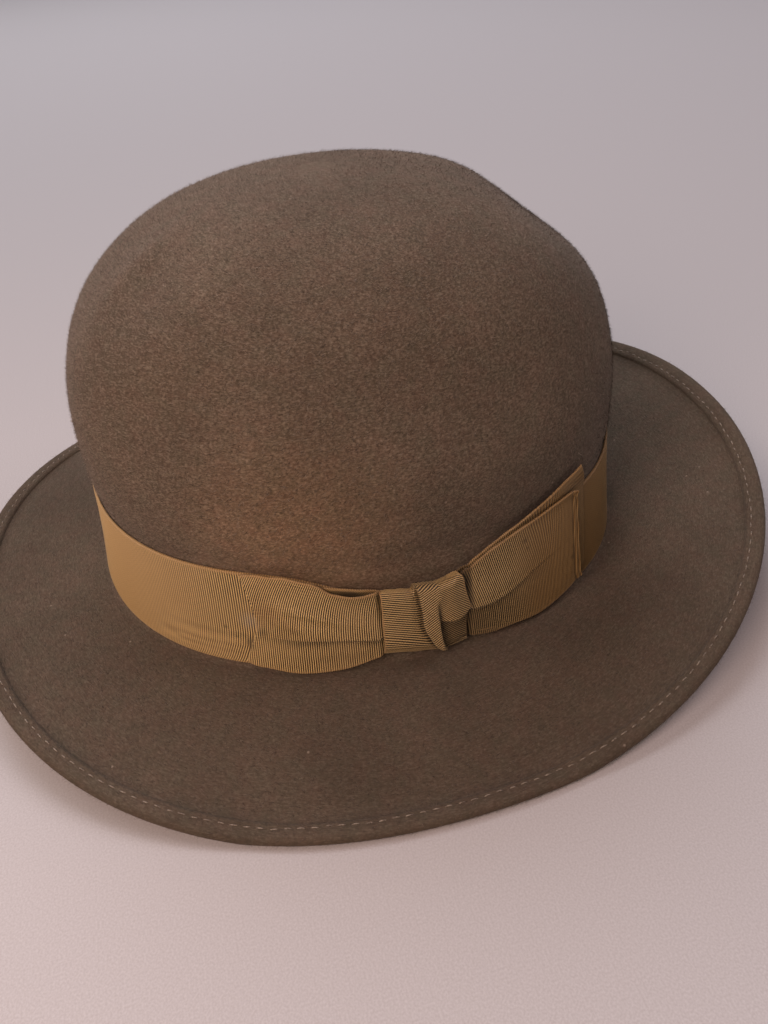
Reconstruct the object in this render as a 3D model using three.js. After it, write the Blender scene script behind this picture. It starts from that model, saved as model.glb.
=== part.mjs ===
// A soft fur-felt hat with an open round crown, a welted brim and a grosgrain ribbon with a flat side bow.
// Millimetres. +Z is up, -Y is the front of the hat and +X the wearer's left, where the bow sits.
// The origin is the middle of the brim's outline, on the surface that the hat rests on.
// An azimuth runs round the hat from the back (0 degrees) past the wearer's left (90) to the front (180).
import * as THREE from "three";

const SECTIONS = 64; // flat faces round the hat
const GAP = 0.3; // clearance between pieces that touch

// The felt, and the block that its crown was shaped on.
const FELT = { thickness: 1.8, fillet: 1.0 };
const CROWN = {
  halfLength: 102.5, // at the foot of the wall
  halfWidth: 88,
  cinch: 1.3, // how far the ribbon draws the wall in, up to its top edge and over the release above it
  release: 9,
  squareness: 2.19, // exponent of the plan oval, where 2 is an ellipse
  height: 134.7, // from the brim to the top of the dome
  wall: 57, // height of the nearly straight wall
  taper: 0.05, // share of its width that the wall loses
  dome: 2.27, // exponent of the dome's profile, where 2 is an ellipse
  centreLeft: 0.5, // of the wall's foot, from the middle of the brim
  centreFront: 1.6,
  slantBack: 2.8, // how far the whole block slants back by the top
  leanFront: 5, // how far the dome then leans to the front, and to the right
  leanRight: 1.8,
};

// Where the wall of the crown meets the top face of the brim.
const JUNCTION = { height: 12.7, frontRise: 3.7 };

// The brim's outline, and the height of the middle of its folded edge as a sum of waves round the hat.
const BRIM = { halfLength: 154, halfWidth: 143.5, squareness: 2.19, bend: 1.05 };
const EDGE = { mean: 12.9, backLift: 8.6, sideDrop: 12.6, skew: 1.2 };

// The brim rests on its two sides, where its edge sags flat.
const REST = { azimuth: 98, spread: 26, reach: 12, sag: 1.8 };

// The edge of the brim is turned over onto its top face and sewn down.
const WELT = { width: 6.5, lip: 0.5 };
const FOLD_RADIUS = FELT.thickness + GAP / 2;

// Soft dents (depth over 0) and swellings (depth under 0) of the crown.
const DENTS = [
  { name: "back flat", azimuth: 1, height: 115, across: 26, tall: 20, depth: 2.6 },
  { name: "front left pinch", azimuth: 136, height: 86, across: 32, tall: 16, depth: 3.2 },
  { name: "left side hollow", azimuth: 76, height: 84, across: 46, tall: 18, depth: 1.8 },
  { name: "old crease", azimuth: 149, height: 117, across: 13, tall: 17, depth: 1.8 },
  { name: "crease ridge", azimuth: 162, height: 120, across: 6, tall: 17, depth: -0.9 },
  { name: "front hollow", azimuth: 179, height: 121, across: 14, tall: 18, depth: 1.2 },
  { name: "top back swelling", azimuth: 340, height: 124, across: 20, tall: 14, depth: -0.8 },
  { name: "back shoulder", azimuth: 16, height: 95, across: 24, tall: 17, depth: -0.9 },
];

// The ribbon, and how the knot gathers the band under it. Heights are above the brim.
const RIBBON = { width: 38.1, thickness: 1.0, foot: 1.5 };
const PINCH = { top: 10.3, foot: 2.9, reach: 20 };

// The bow. Distances run along the band from the middle of the wearer's left side, over 0 towards the back.
// Each layer has its felt side at that distance from the felt.
const LAYER = { under: 1.75, over: 3.2 };
const FRONT_LOOP = [
  { along: -56.0, foot: 3.0, top: 40.3 },
  { along: -48.0, foot: 1.1, top: 39.7 },
  { along: -39.0, foot: 1.0, top: 37.7 },
  { along: -30.0, foot: 1.7, top: 35.1 },
  { along: -20.5, foot: 3.8, top: 32.3 },
  { along: -14.5, foot: 7.7, top: 29.8 },
  { along: -10.0, foot: 9.6, top: 29.4 },
];
const BACK_WING_UNDER = [
  { along: 10.0, foot: 7.0, top: 29.0 },
  { along: 14.5, foot: 6.2, top: 29.8 },
  { along: 18.0, foot: 4.2, top: 32.8 },
  { along: 23.0, foot: 3.2, top: 36.0 },
  { along: 37.0, foot: 2.4, top: 42.5 },
  { along: 53.5, foot: 3.2, top: 48.6 },
  { along: 67.0, foot: 5.4, top: 51.8 },
];
const BACK_WING_OVER = [
  { along: 10.0, foot: 9.6, top: 30.0 },
  { along: 15.0, foot: 8.3, top: 29.7 },
  { along: 18.5, foot: 3.8, top: 30.1 },
  { along: 24.5, foot: 1.8, top: 32.6 },
  { along: 35.0, foot: 1.1, top: 36.7 },
  { along: 44.0, foot: 1.1, top: 39.5 },
  { along: 63.0, foot: 3.0, top: 43.8 },
];
const UNDER_END_LEAN = 3.3; // how much longer the under layer is at its foot

// A pleat runs out from the knot: the cloth above its line overhangs it, and both die away over the reach.
const PLEATS = {
  frontLoop: { start: 14.2, height: 13.6, climb: 0.05, ridge: 1.5, spread: 7, reach: 30 },
  backWing: { start: 17.2, height: 16.8, climb: 0.12, ridge: 1.7, spread: 8, reach: 30 },
};

// The knot is a ribbon wrapped round the middle of the bow. Its back edge bulges, and its foot curls under.
const KNOT = { front: -13.8, back: 14.2, bulge: 2.6, foot: 2.4, top: 32.4, face: 5.9 };
const KNOT_FOOT = [
  { rise: 0, out: 0.9 },
  { rise: 1.2, out: 3.4 },
  { rise: 3.2, out: 4.9 },
  { rise: 6.4, out: 5.7 },
];
const KNOT_TOP = [
  { drop: 1.8, out: 5.8 },
  { drop: 0.4, out: 5.0 },
  { drop: 0.3, out: 3.8 },
  { drop: 1.4, out: 0.9 },
];
// A slanting tuck crosses the knot's face. The cloth behind its line overhangs it, and a hollow lies past that.
const TUCK = { alongTop: -1.7, alongFoot: 6.4, ridge: 1.3, spread: 5.5, hollow: 0.5, hollowAt: 6.5, hollowSpread: 2.2 };

const FELT_COLOUR = "#5f4b3e";
const RIBBON_COLOUR = "#8a6234";

const radians = THREE.MathUtils.degToRad;
const mix = THREE.MathUtils.lerp;

/** Steps from 0 to 1, both included. */
function steps(count) {
  return Array.from({ length: count + 1 }, (_, i) => i / count);
}

/** A bell curve that is 1 at 0 and dies away past 1. */
function bell(x) {
  return Math.exp(-x * x);
}

/** A point of a rounded oval at an azimuth, with half axes 1. */
function oval(azimuth, squareness) {
  const [side, back] = [Math.sin(azimuth), Math.cos(azimuth)];
  const reach = Math.pow(Math.abs(side) ** squareness + Math.abs(back) ** squareness, -1 / squareness);
  return new THREE.Vector2(side * reach, back * reach);
}

/** Height at which the crown meets the brim's top face. */
function junctionHeight(azimuth) {
  return JUNCTION.height - JUNCTION.frontRise * Math.cos(azimuth);
}

/** The crown's outside before it was dented, by height above the brim and share of its full width. */
function blockPoint(azimuth, height, width) {
  const plan = oval(azimuth, CROWN.squareness);
  const rise = height / CROWN.height;
  return new THREE.Vector3(
    CROWN.centreLeft + CROWN.halfWidth * width * plan.x - CROWN.leanRight * rise ** 2,
    -CROWN.centreFront + CROWN.halfLength * width * plan.y + CROWN.slantBack * rise - CROWN.leanFront * rise ** 2,
    height + mix(junctionHeight(azimuth), JUNCTION.height, rise),
  );
}

/** Share of its full width that the crown has at a height. */
function widthAt(height) {
  const wallShare = Math.min(height / CROWN.wall, 1);
  const wall = 1 - CROWN.taper * Math.sin((wallShare * Math.PI) / 2);
  const domeShare = THREE.MathUtils.clamp((height - CROWN.wall) / (CROWN.height - CROWN.wall), 0, 1);
  return wall * Math.pow(1 - domeShare ** CROWN.dome, 1 / CROWN.dome);
}

/** The block's point, its outward normal and its two tangents at an azimuth and height. */
function blockFrame(azimuth, height) {
  const turn = 0.01;
  const below = Math.max(height - 0.5, 0);
  const above = Math.min(height + 0.5, CROWN.height - 0.01);
  const at = (a, h) => blockPoint(a, h, widthAt(h));
  const round = at(azimuth - turn, height).sub(at(azimuth + turn, height)).normalize();
  const up = at(azimuth, above).sub(at(azimuth, below)).normalize();
  const normal = new THREE.Vector3().crossVectors(round, up).normalize();
  return { point: at(azimuth, height), normal, round, up };
}

const dentFrames = DENTS.map((dent) => ({ ...dent, ...blockFrame(radians(dent.azimuth), dent.height) }));

/** How far the felt is pushed in at a point of the block. */
function dentDepth(point) {
  let depth = 0;
  for (const dent of dentFrames) {
    const away = point.clone().sub(dent.point);
    const through = away.dot(dent.normal) / Math.max(dent.across, dent.tall);
    depth += dent.depth * bell(Math.hypot(away.dot(dent.round) / dent.across, away.dot(dent.up) / dent.tall, through));
  }
  return depth;
}

/** A point of the crown, at a distance outwards from its outer face. */
function crownPoint(azimuth, height, outwards = 0) {
  const frame = blockFrame(azimuth, height);
  const free = THREE.MathUtils.smoothstep(height, RIBBON.foot + RIBBON.width, RIBBON.foot + RIBBON.width + CROWN.release);
  const inwards = dentDepth(frame.point) + CROWN.cinch * (1 - free);
  return frame.point.addScaledVector(frame.normal, outwards - inwards);
}

/** The top of the dome, at a distance outwards from its outer face. */
function crownTop(outwards) {
  const top = blockPoint(0, CROWN.height, 0);
  top.z += outwards - dentDepth(top);
  return top;
}

/** Height of the middle of the brim's folded edge. */
function edgeHeight(azimuth) {
  const waves =
    EDGE.backLift * Math.cos(azimuth) + EDGE.sideDrop * Math.cos(2 * azimuth) + EDGE.skew * Math.cos(3 * azimuth);
  return EDGE.mean + waves;
}

/** A point of the brim: a distance in from its outermost line, and a height above its lower face. */
function brimPoint(azimuth, inwards, up) {
  const edgePlan = oval(azimuth, BRIM.squareness).multiply(new THREE.Vector2(BRIM.halfWidth, BRIM.halfLength));
  const foot = blockPoint(azimuth, 0, 1);
  const inward = new THREE.Vector2(foot.x, foot.y).sub(edgePlan);
  const reach = inward.length();
  inward.normalize();
  const fromRest = Math.acos(Math.cos(azimuth)) - radians(REST.azimuth);
  const heightAt = (distance) => {
    const share = THREE.MathUtils.clamp(1 - distance / reach, 0, 1) ** BRIM.bend;
    const footHeight = junctionHeight(azimuth) + FOLD_RADIUS - FELT.thickness;
    const sag = REST.sag * bell(distance / REST.reach) * bell(fromRest / radians(REST.spread));
    return Math.max(FOLD_RADIUS, mix(footHeight, edgeHeight(azimuth), share) - sag);
  };
  const slope = Math.atan2(heightAt(inwards + 0.5) - heightAt(inwards - 0.5), 1);
  const lift = up - FOLD_RADIUS;
  const plan = edgePlan.addScaledVector(inward, inwards - lift * Math.sin(slope));
  return new THREE.Vector3(plan.x, plan.y, heightAt(inwards) + lift * Math.cos(slope));
}

/** Distance across the brim at an azimuth. */
function brimReach(azimuth) {
  const edgePlan = oval(azimuth, BRIM.squareness).multiply(new THREE.Vector2(BRIM.halfWidth, BRIM.halfLength));
  const foot = blockPoint(azimuth, 0, 1);
  return edgePlan.distanceTo(new THREE.Vector2(foot.x, foot.y));
}

/** A geometry from points and the corners of its triangles. */
function surface(points, index) {
  const geometry = new THREE.BufferGeometry().setFromPoints(points);
  geometry.setIndex(index);
  geometry.computeVertexNormals();
  return geometry;
}

/** A closed body from rings of points. A ring of one point closes that end, and otherwise the last meets the first. */
function bodyOfRings(rings) {
  const count = Math.max(...rings.map((ring) => ring.length));
  const closed = rings[0].length > 1;
  const starts = [];
  rings.reduce((start, ring) => (starts.push(start), start + ring.length), 0);
  const index = [];
  for (let r = 0; r < rings.length - (closed ? 0 : 1); r++) {
    const next = (r + 1) % rings.length;
    const at = (ring, i) => starts[ring] + (rings[ring].length > 1 ? i % count : 0);
    for (let i = 0; i < count; i++) {
      const [a, b, c, d] = [at(r, i), at(r, i + 1), at(next, i + 1), at(next, i)];
      if (a !== b) index.push(a, b, c);
      if (c !== d) index.push(a, c, d);
    }
  }
  return surface(rings.flat(), index);
}

/** A closed sheet of cloth from a grid of points on its outer face. Its thickness goes inwards. */
function sheetOfGrid(grid, thickness) {
  const [rows, columns] = [grid.length, grid[0].length];
  const at = (r, c) => grid[THREE.MathUtils.clamp(r, 0, rows - 1)][THREE.MathUtils.clamp(c, 0, columns - 1)];
  const inner = grid.map((row, r) =>
    row.map((point, c) => {
      const along = at(r + 1, c).clone().sub(at(r - 1, c));
      const across = at(r, c + 1).clone().sub(at(r, c - 1));
      return point.clone().addScaledVector(along.cross(across).normalize(), thickness);
    }),
  );
  const points = [...grid.flat(), ...inner.flat()];
  const within = rows * columns;
  const index = [];
  const quad = (p, q, r, s) => index.push(p, q, r, p, r, s);
  for (let r = 0; r < rows - 1; r++) {
    for (let c = 0; c < columns - 1; c++) {
      const [p, q, next, side] = [r * columns + c, r * columns + c + 1, (r + 1) * columns + c + 1, (r + 1) * columns + c];
      quad(p, q, next, side);
      quad(within + side, within + next, within + q, within + p);
    }
  }
  // The cut edges, once round the grid.
  const last = rows - 1;
  const border = [
    ...Array.from({ length: columns - 1 }, (_, c) => c),
    ...Array.from({ length: last }, (_, r) => (r + 1) * columns - 1),
    ...Array.from({ length: columns - 1 }, (_, c) => last * columns + columns - 1 - c),
    ...Array.from({ length: last }, (_, r) => (last - r) * columns),
  ];
  border.forEach((here, i) => {
    const next = border[(i + 1) % border.length];
    quad(next, here, within + here, within + next);
  });
  return surface(points, index);
}

/** Azimuth at a distance along the band from the middle of the wearer's left side. */
function azimuthAt(along) {
  const step = Math.sign(along) * 0.002;
  let azimuth = Math.PI / 2;
  let gone = 0;
  while (gone < Math.abs(along)) {
    const [here, next] = [azimuth, azimuth - step].map((a) => blockPoint(a, 0, widthAt(0)));
    gone += Math.hypot(next.x - here.x, next.y - here.y);
    azimuth -= step;
  }
  return azimuth;
}

/** Value of a table's column at a distance along the band, on a smooth curve through its rows. */
function fromTable(table, column, along) {
  const last = table.length - 1;
  const k = THREE.MathUtils.clamp(table.findLastIndex((row) => row.along <= along), 0, last - 1);
  const slope = (i) => {
    const [before, after] = [table[Math.max(i - 1, 0)], table[Math.min(i + 1, last)]];
    return (after[column] - before[column]) / (after.along - before.along);
  };
  const [from, to] = [table[k], table[k + 1]];
  const step = to.along - from.along;
  const t = THREE.MathUtils.clamp((along - from.along) / step, 0, 1);
  const ease = t * t * (3 - 2 * t);
  const bend = step * t * (1 - t) * (slope(k) * (1 - t) - slope(k + 1) * t);
  return mix(from[column], to[column], ease) + bend;
}

/** How strongly the knot pinches the band at a distance along it. */
function pinchAt(azimuth) {
  const along = Math.cos(azimuth) * CROWN.halfLength;
  const beyondKnot = Math.max(0, KNOT.front - along, along - KNOT.back);
  return Math.sin(azimuth) > 0 ? bell(beyondKnot / PINCH.reach) : 0;
}

/** The felt body: crown, brim and the turned-over edge are one piece of felt. */
function feltBody() {
  const azimuths = steps(SECTIONS).slice(0, -1).map((share) => share * 2 * Math.PI);
  const ring = (pointAt) => azimuths.map(pointAt);
  const domeHeights = [132.6, 129.5, 125, 119, 111.5, 102.5, 92, 80, 68];
  const wallHeights = [57, 49, 44, 40, 27, 12, 4];
  const outside = [...domeHeights, ...wallHeights, FELT.fillet].map((height) => ring((a) => crownPoint(a, height)));
  const inside = [...domeHeights, ...wallHeights, 0].map((height) => ring((a) => crownPoint(a, height, -FELT.thickness)));

  const { thickness } = FELT;
  const flap = 2 * thickness + GAP;
  const brimTop = [1, 0.8, 0.6, 0.4, 0.22].map((share) => {
    return ring((a) => brimPoint(a, WELT.width + (brimReach(a) - FELT.fillet - WELT.width) * share, thickness));
  });
  // The turned edge in section: into the slit under the flap, out again, over the flap and round the fold.
  const weltSection = [
    { inwards: WELT.width, up: thickness },
    { inwards: FOLD_RADIUS + 0.4, up: thickness },
    { inwards: FOLD_RADIUS + 0.4, up: thickness + GAP },
    { inwards: WELT.width - WELT.lip, up: thickness + GAP },
    { inwards: WELT.width, up: thickness + GAP + WELT.lip },
    { inwards: WELT.width, up: flap - WELT.lip },
    { inwards: WELT.width - WELT.lip, up: flap },
    ...[90, 50, 18, -18, -50, -90].map((angle) => ({
      inwards: FOLD_RADIUS * (1 - Math.cos(radians(angle))),
      up: FOLD_RADIUS * (1 + Math.sin(radians(angle))),
    })),
    { inwards: WELT.width, up: 0 },
  ];
  const welt = weltSection.map(({ inwards, up }) => ring((a) => brimPoint(a, inwards, up)));
  const underside = [0.2, 0.45, 0.7, 0.88, 1].map((share) => {
    return ring((a) => brimPoint(a, mix(WELT.width, brimReach(a), share), 0));
  });
  return bodyOfRings([
    [crownTop(0)],
    ...outside,
    ...brimTop,
    ...welt,
    ...underside,
    ...inside.toReversed(),
    [crownTop(-thickness)],
  ]);
}

/** The grosgrain band, a closed ring that the knot pinches on the wearer's left. */
function ribbonBand() {
  const faces = [
    { share: 0, out: GAP },
    { share: 0, out: GAP + RIBBON.thickness },
    { share: 0.5, out: GAP + RIBBON.thickness },
    { share: 1, out: GAP + RIBBON.thickness },
    { share: 1, out: GAP },
    { share: 0.5, out: GAP },
  ];
  const azimuths = steps(SECTIONS).slice(0, -1).map((share) => share * 2 * Math.PI);
  const rings = faces.map(({ share, out }) =>
    azimuths.map((a) => {
      const pinch = pinchAt(a);
      const foot = RIBBON.foot + PINCH.foot * pinch;
      const top = RIBBON.foot + RIBBON.width - PINCH.top * pinch;
      return crownPoint(a, mix(foot, top, share), out);
    }),
  );
  return bodyOfRings(rings.toReversed());
}

/** Points up a layer of the bow at a distance along the band: its height, and how far a pleat lifts it. */
function layerColumn(table, along, pleat) {
  const [foot, top] = ["foot", "top"].map((column) => fromTable(table, column, along));
  if (!pleat) return steps(8).map((share) => ({ share, height: mix(foot, top, share), lift: 0 }));
  const fromKnot = Math.max(0, Math.abs(along) - pleat.start);
  const strength = pleat.ridge * bell(fromKnot / pleat.reach) * THREE.MathUtils.smoothstep(fromKnot, 0, 3);
  const line = pleat.height + pleat.climb * fromKnot;
  const below = [0, 0.4, 0.75, 1].map((share) => mix(foot, line, share));
  const above = [0.9, 3, 6, 10].map((rise) => line + rise);
  const rest = [0.5, 1].map((share) => mix(above.at(-1), top, share));
  return [...below, ...above, ...rest].map((height) => {
    const lift = height > line ? strength * bell((height - line - 0.9) / pleat.spread) : 0;
    return { share: (height - foot) / (top - foot), height, lift };
  });
}

/** The wing towards the front: a ribbon folded back on itself, its under layer behind its pleated one. */
function frontLoop() {
  const end = FRONT_LOOP[0].along;
  const start = FRONT_LOOP.at(-1).along;
  const outer = LAYER.over + RIBBON.thickness;
  const radius = (outer - LAYER.under) / 2;
  const over = steps(12).map((share) => ({ along: mix(start, end + radius, share), out: outer, pleated: true }));
  const fold = [60, 90, 120].map((angle) => ({
    along: end + radius * (1 - Math.sin(radians(angle))),
    out: LAYER.under + radius * (1 + Math.cos(radians(angle))),
  }));
  const under = steps(8).map((share) => ({ along: mix(end + radius, start, share), out: LAYER.under }));
  const grid = [...over, ...fold, ...under].map(({ along, out, pleated }) => {
    const azimuth = azimuthAt(along);
    return layerColumn(FRONT_LOOP, along, PLEATS.frontLoop).map(({ height, lift }) => {
      return crownPoint(azimuth, height, out + (pleated ? lift : 0));
    });
  });
  return sheetOfGrid(grid, RIBBON.thickness);
}

/** One flat layer of the wing towards the back, cut straight at its end. */
function backWingLayer(table, inner, pleat, lean) {
  const [start, end] = [table[0].along, table.at(-1).along];
  const grid = steps(13).map((part) => {
    const along = mix(end, start, part);
    return layerColumn(table, along, pleat).map(({ share, height, lift }) => {
      const leant = along + lean * (1 - share) * (1 - part);
      return crownPoint(azimuthAt(leant), height, inner + RIBBON.thickness + lift);
    });
  });
  return sheetOfGrid(grid, RIBBON.thickness);
}

/** The knot: a ribbon wrapped round the middle of the bow, with a slanting tuck across its face. */
function bowKnot() {
  const { foot, top, face, front, back } = KNOT;
  const faceFoot = foot + KNOT_FOOT.at(-1).rise + 3;
  const faceTop = top - KNOT_TOP[0].drop - 2;
  const section = [
    ...KNOT_FOOT.map(({ rise, out }) => ({ height: foot + rise, out })),
    ...steps(5).map((share) => ({ height: mix(faceFoot, faceTop, share), out: face })),
    ...KNOT_TOP.map(({ drop, out }) => ({ height: top - drop, out })),
  ];
  const columns = section.map(({ height, out }) => {
    const share = (height - foot) / (top - foot);
    const line = mix(TUCK.alongFoot, TUCK.alongTop, share);
    const bulged = back + KNOT.bulge * Math.sin(Math.PI * share);
    const before = [0, 0.35, 0.7, 1].map((part) => mix(front, line, part));
    const after = [0.8, 2.8, 5].map((past) => line + past);
    const rest = [0.34, 0.67, 1].map((part) => mix(after.at(-1), bulged, part));
    const onFace = THREE.MathUtils.smoothstep(out, 3.3, face);
    return [...before, ...after, ...rest].map((along) => {
      const ridge = along > line ? TUCK.ridge * bell((along - line - 0.8) / TUCK.spread) : 0;
      const hollow = TUCK.hollow * (1 - share) * bell((along - line - TUCK.hollowAt) / TUCK.hollowSpread);
      return crownPoint(azimuthAt(along), height, out + onFace * (ridge - hollow));
    });
  });
  // The columns hold points from front to back, and a grid's rows run from back to front.
  const grid = steps(columns[0].length - 1).map((_, i) => columns.map((column) => column.at(-1 - i)));
  return sheetOfGrid(grid, RIBBON.thickness);
}

/** A named piece in its finish. */
function piece(name, geometry, colour, roughness) {
  const material = new THREE.MeshStandardMaterial({ color: colour, roughness, metalness: 0 });
  const mesh = new THREE.Mesh(geometry, material);
  mesh.name = name;
  return mesh;
}

const hat = new THREE.Group();
hat.name = "felt_hat";
hat.add(piece("felt_body", feltBody(), FELT_COLOUR, 0.95));
hat.add(piece("ribbon_band", ribbonBand(), RIBBON_COLOUR, 0.7));

const bow = new THREE.Group();
bow.name = "bow";
bow.add(piece("bow_front_loop", frontLoop(), RIBBON_COLOUR, 0.7));
bow.add(piece("bow_back_wing_under", backWingLayer(BACK_WING_UNDER, LAYER.under, null, UNDER_END_LEAN), RIBBON_COLOUR, 0.7));
bow.add(piece("bow_back_wing_over", backWingLayer(BACK_WING_OVER, LAYER.over, PLEATS.backWing, 0), RIBBON_COLOUR, 0.7));
bow.add(piece("bow_knot", bowKnot(), RIBBON_COLOUR, 0.7));
hat.add(bow);

export default hat;
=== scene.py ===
import logging
import math
from dataclasses import dataclass
from enum import Enum

import bpy
import numpy as np
from bpy.types import Material, Node, NodeSocket, NodeTree, Object
from mathutils import Matrix, Vector, noise


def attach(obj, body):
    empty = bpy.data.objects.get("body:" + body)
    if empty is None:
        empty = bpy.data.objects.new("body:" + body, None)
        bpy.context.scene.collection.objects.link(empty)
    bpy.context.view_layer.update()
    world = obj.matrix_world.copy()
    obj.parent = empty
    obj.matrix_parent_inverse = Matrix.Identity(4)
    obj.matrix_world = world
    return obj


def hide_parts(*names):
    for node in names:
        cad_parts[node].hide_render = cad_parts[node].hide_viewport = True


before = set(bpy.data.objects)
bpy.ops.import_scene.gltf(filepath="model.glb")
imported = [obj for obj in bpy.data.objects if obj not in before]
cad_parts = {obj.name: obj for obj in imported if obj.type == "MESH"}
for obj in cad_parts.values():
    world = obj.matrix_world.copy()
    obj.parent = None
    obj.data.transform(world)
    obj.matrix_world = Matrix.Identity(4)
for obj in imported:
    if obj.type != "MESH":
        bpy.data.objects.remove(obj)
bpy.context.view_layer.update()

Array = np.ndarray
Span = tuple[float, float]
Line = tuple[Span, ...]
LOG = logging.getLogger("felt_hat")
MM = 0.001
TURN = 2.0 * math.pi
BODY = "root"
CORD_PITCH = 0.73  # the ribbon's real cords are 0.66 mm apart, drawn as coarse as shows
SHARE, UNDER, OVER = 0, 6, 7  # sockets of a Mix node that lays one colour over another


class Slot(Enum):
    """The record's material slots."""

    FELT = "felt"
    RIBBON = "ribbon"


def mix(start: float, end: float, share: float) -> float:
    """The value at a share of the way from start to end."""
    return start + (end - start) * share


def ease(value: Array, low: float, high: float) -> Array:
    """Rises smoothly from 0 at low to 1 at high."""
    share = np.clip((np.asarray(value, float) - low) / (high - low), 0.0, 1.0)
    return share * share * (3.0 - 2.0 * share)


def bell(value: Array) -> Array:
    """A bell curve that is 1 at 0 and dies away past 1."""
    return np.exp(-np.square(value))


def unit(vectors: Array) -> Array:
    """Vectors scaled to length 1."""
    return vectors / np.maximum(np.linalg.norm(vectors, axis=-1, keepdims=True), 1e-12)


def through(line: tuple, at: Array) -> Array:
    """Height of a smooth curve through the points of a line.

    Args:
        line: pairs of numbers, whose first numbers rise.
        at: first numbers to read the curve at.

    Returns:
        The second numbers there, held level past the line's ends.
    """
    x, y = np.array(line, float).T
    last = len(x) - 1
    before = np.maximum(np.arange(last + 1) - 1, 0)
    after = np.minimum(np.arange(last + 1) + 1, last)
    slope = (y[after] - y[before]) / (x[after] - x[before])
    at = np.asarray(at, float)
    k = np.clip(np.searchsorted(x, at, side="right") - 1, 0, last - 1)
    step = x[k + 1] - x[k]
    t = np.clip((at - x[k]) / step, 0.0, 1.0)
    bend = step * t * (1 - t) * (slope[k] * (1 - t) - slope[k + 1] * t)
    return mix(y[k], y[k + 1], t * t * (3 - 2 * t)) + bend


def linear(colour: str) -> tuple[float, float, float, float]:
    """Linear RGBA of an sRGB hex colour.

    Args:
        colour: a hex value such as "#6b5444".

    Returns:
        Red, green, blue and alpha as Blender's sockets take them.
    """
    levels = [int(colour[i:i + 2], 16) / 255 for i in (1, 3, 5)]
    rgb = [c / 12.92 if c <= 0.04045 else ((c + 0.055) / 1.055) ** 2.4 for c in levels]
    return (*rgb, 1.0)


def add_node(
    tree: NodeTree, kind: str, inputs: dict | None = None, stops: tuple = (), **settings: str,
) -> Node:
    """Adds a node with its settings and links.

    Args:
        tree: the node tree that it goes in.
        kind: Blender's name of the node type, after the word ShaderNode.
        inputs: by name or index, an input socket's number or colour, or the node or socket that feeds it.
        stops: positions and sRGB hex colours of a colour ramp.
        **settings: the node's own properties.

    Returns:
        The node.
    """
    node = tree.nodes.new("ShaderNode" + kind)
    for name, value in settings.items():
        setattr(node, name, value)
    for socket, value in (inputs or {}).items():
        if isinstance(value, Node):
            value = next(output for output in value.outputs if output.enabled)
        if isinstance(value, NodeSocket):
            tree.links.new(value, node.inputs[socket])
        else:
            node.inputs[socket].default_value = value
    for place, (position, colour) in enumerate(stops):
        ramp = node.color_ramp.elements
        stop = ramp[place] if place < len(ramp) else ramp.new(position)
        stop.position = position
        stop.color = linear(colour)
    return node


def new_material(name: str) -> tuple[Material, NodeTree]:
    """A material with no nodes.

    Args:
        name: the material's name.

    Returns:
        The material and its node tree.
    """
    material = bpy.data.materials.new(name)
    material.use_nodes = True
    material.node_tree.nodes.clear()
    return material, material.node_tree


def ring_faces(rows: int, columns: int) -> Array:
    """Faces between rows of points, where each row is a closed loop.

    Args:
        rows: the number of rows.
        columns: points in a row.

    Returns:
        Corner numbers of the quads.
    """
    row = np.arange(rows - 1)[:, None] * columns
    column = np.arange(columns)[None, :]
    beside = (column + 1) % columns
    corners = [row + column, row + beside, row + columns + beside, row + columns + column]
    return np.stack(corners, -1).reshape(-1, 4)


def distance_along(line: Array) -> Array:
    """Distances along a line of points, from its start."""
    return np.concatenate([[0], np.cumsum(np.linalg.norm(np.diff(line, axis=0), axis=1))])


def into_scene(name: str, data: bpy.types.ID) -> Object:
    """Makes an object and puts it in the scene.

    Args:
        name: the object's name.
        data: its mesh, lamp or camera.

    Returns:
        The object.
    """
    made = bpy.data.objects.new(name, data)
    bpy.context.scene.collection.objects.link(made)
    return made


def new_piece(
    name: str, points: Array, faces: list, material: Material, weave: Array | None = None,
    smooth: bool = True, marks: dict[str, Array] | None = None,
) -> Object:
    """Makes a piece that rides on the hat.

    Args:
        name: the piece's name.
        points: its vertices in millimetres.
        faces: corner numbers of its faces.
        material: its finish.
        weave: a place in the weave for each corner of each face, in millimetres.
        smooth: whether its faces are shaded as one curved surface.
        marks: numbers for each vertex, by the name that the finish reads them by.

    Returns:
        The object.
    """
    mesh = bpy.data.meshes.new(name)
    mesh.from_pydata((points * MM).tolist(), [], faces)
    mesh.polygons.foreach_set("use_smooth", np.full(len(mesh.polygons), smooth))
    if weave is not None:
        layer = mesh.uv_layers.new(name="weave")
        layer.data.foreach_set("uv", (weave * MM).astype(np.float32).ravel())
    for mark, values in (marks or {}).items():
        mesh.attributes.new(mark, "FLOAT", "POINT").data.foreach_set("value", values.astype(np.float32))
    mesh.materials.append(material)
    mesh.update()
    piece = into_scene(name, mesh)
    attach(piece, BODY)
    return piece


@dataclass(frozen=True)
class Viewpoint:
    """The camera, at the photograph's angle."""

    place: tuple = (263.48, -52.02, 221.96)
    forward: tuple = (-0.75858, 0.17611, -0.62733)
    upward: tuple = (-0.59052, 0.22114, 0.77614)
    lens: float = 28.445
    sensor: float = 36.0

    def build(self) -> None:
        """Makes the camera and gives it to the scene."""
        data = bpy.data.cameras.new("camera")
        data.lens = self.lens
        data.sensor_width = self.sensor
        data.clip_start = 10 * MM
        camera = into_scene("camera", data)
        back = -Vector(self.forward).normalized()
        right = Vector(self.upward).cross(back).normalized()
        axes = Matrix((right, back.cross(right), back)).transposed().to_4x4()
        camera.matrix_world = Matrix.Translation(Vector(self.place) * MM) @ axes
        bpy.context.scene.camera = camera


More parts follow.
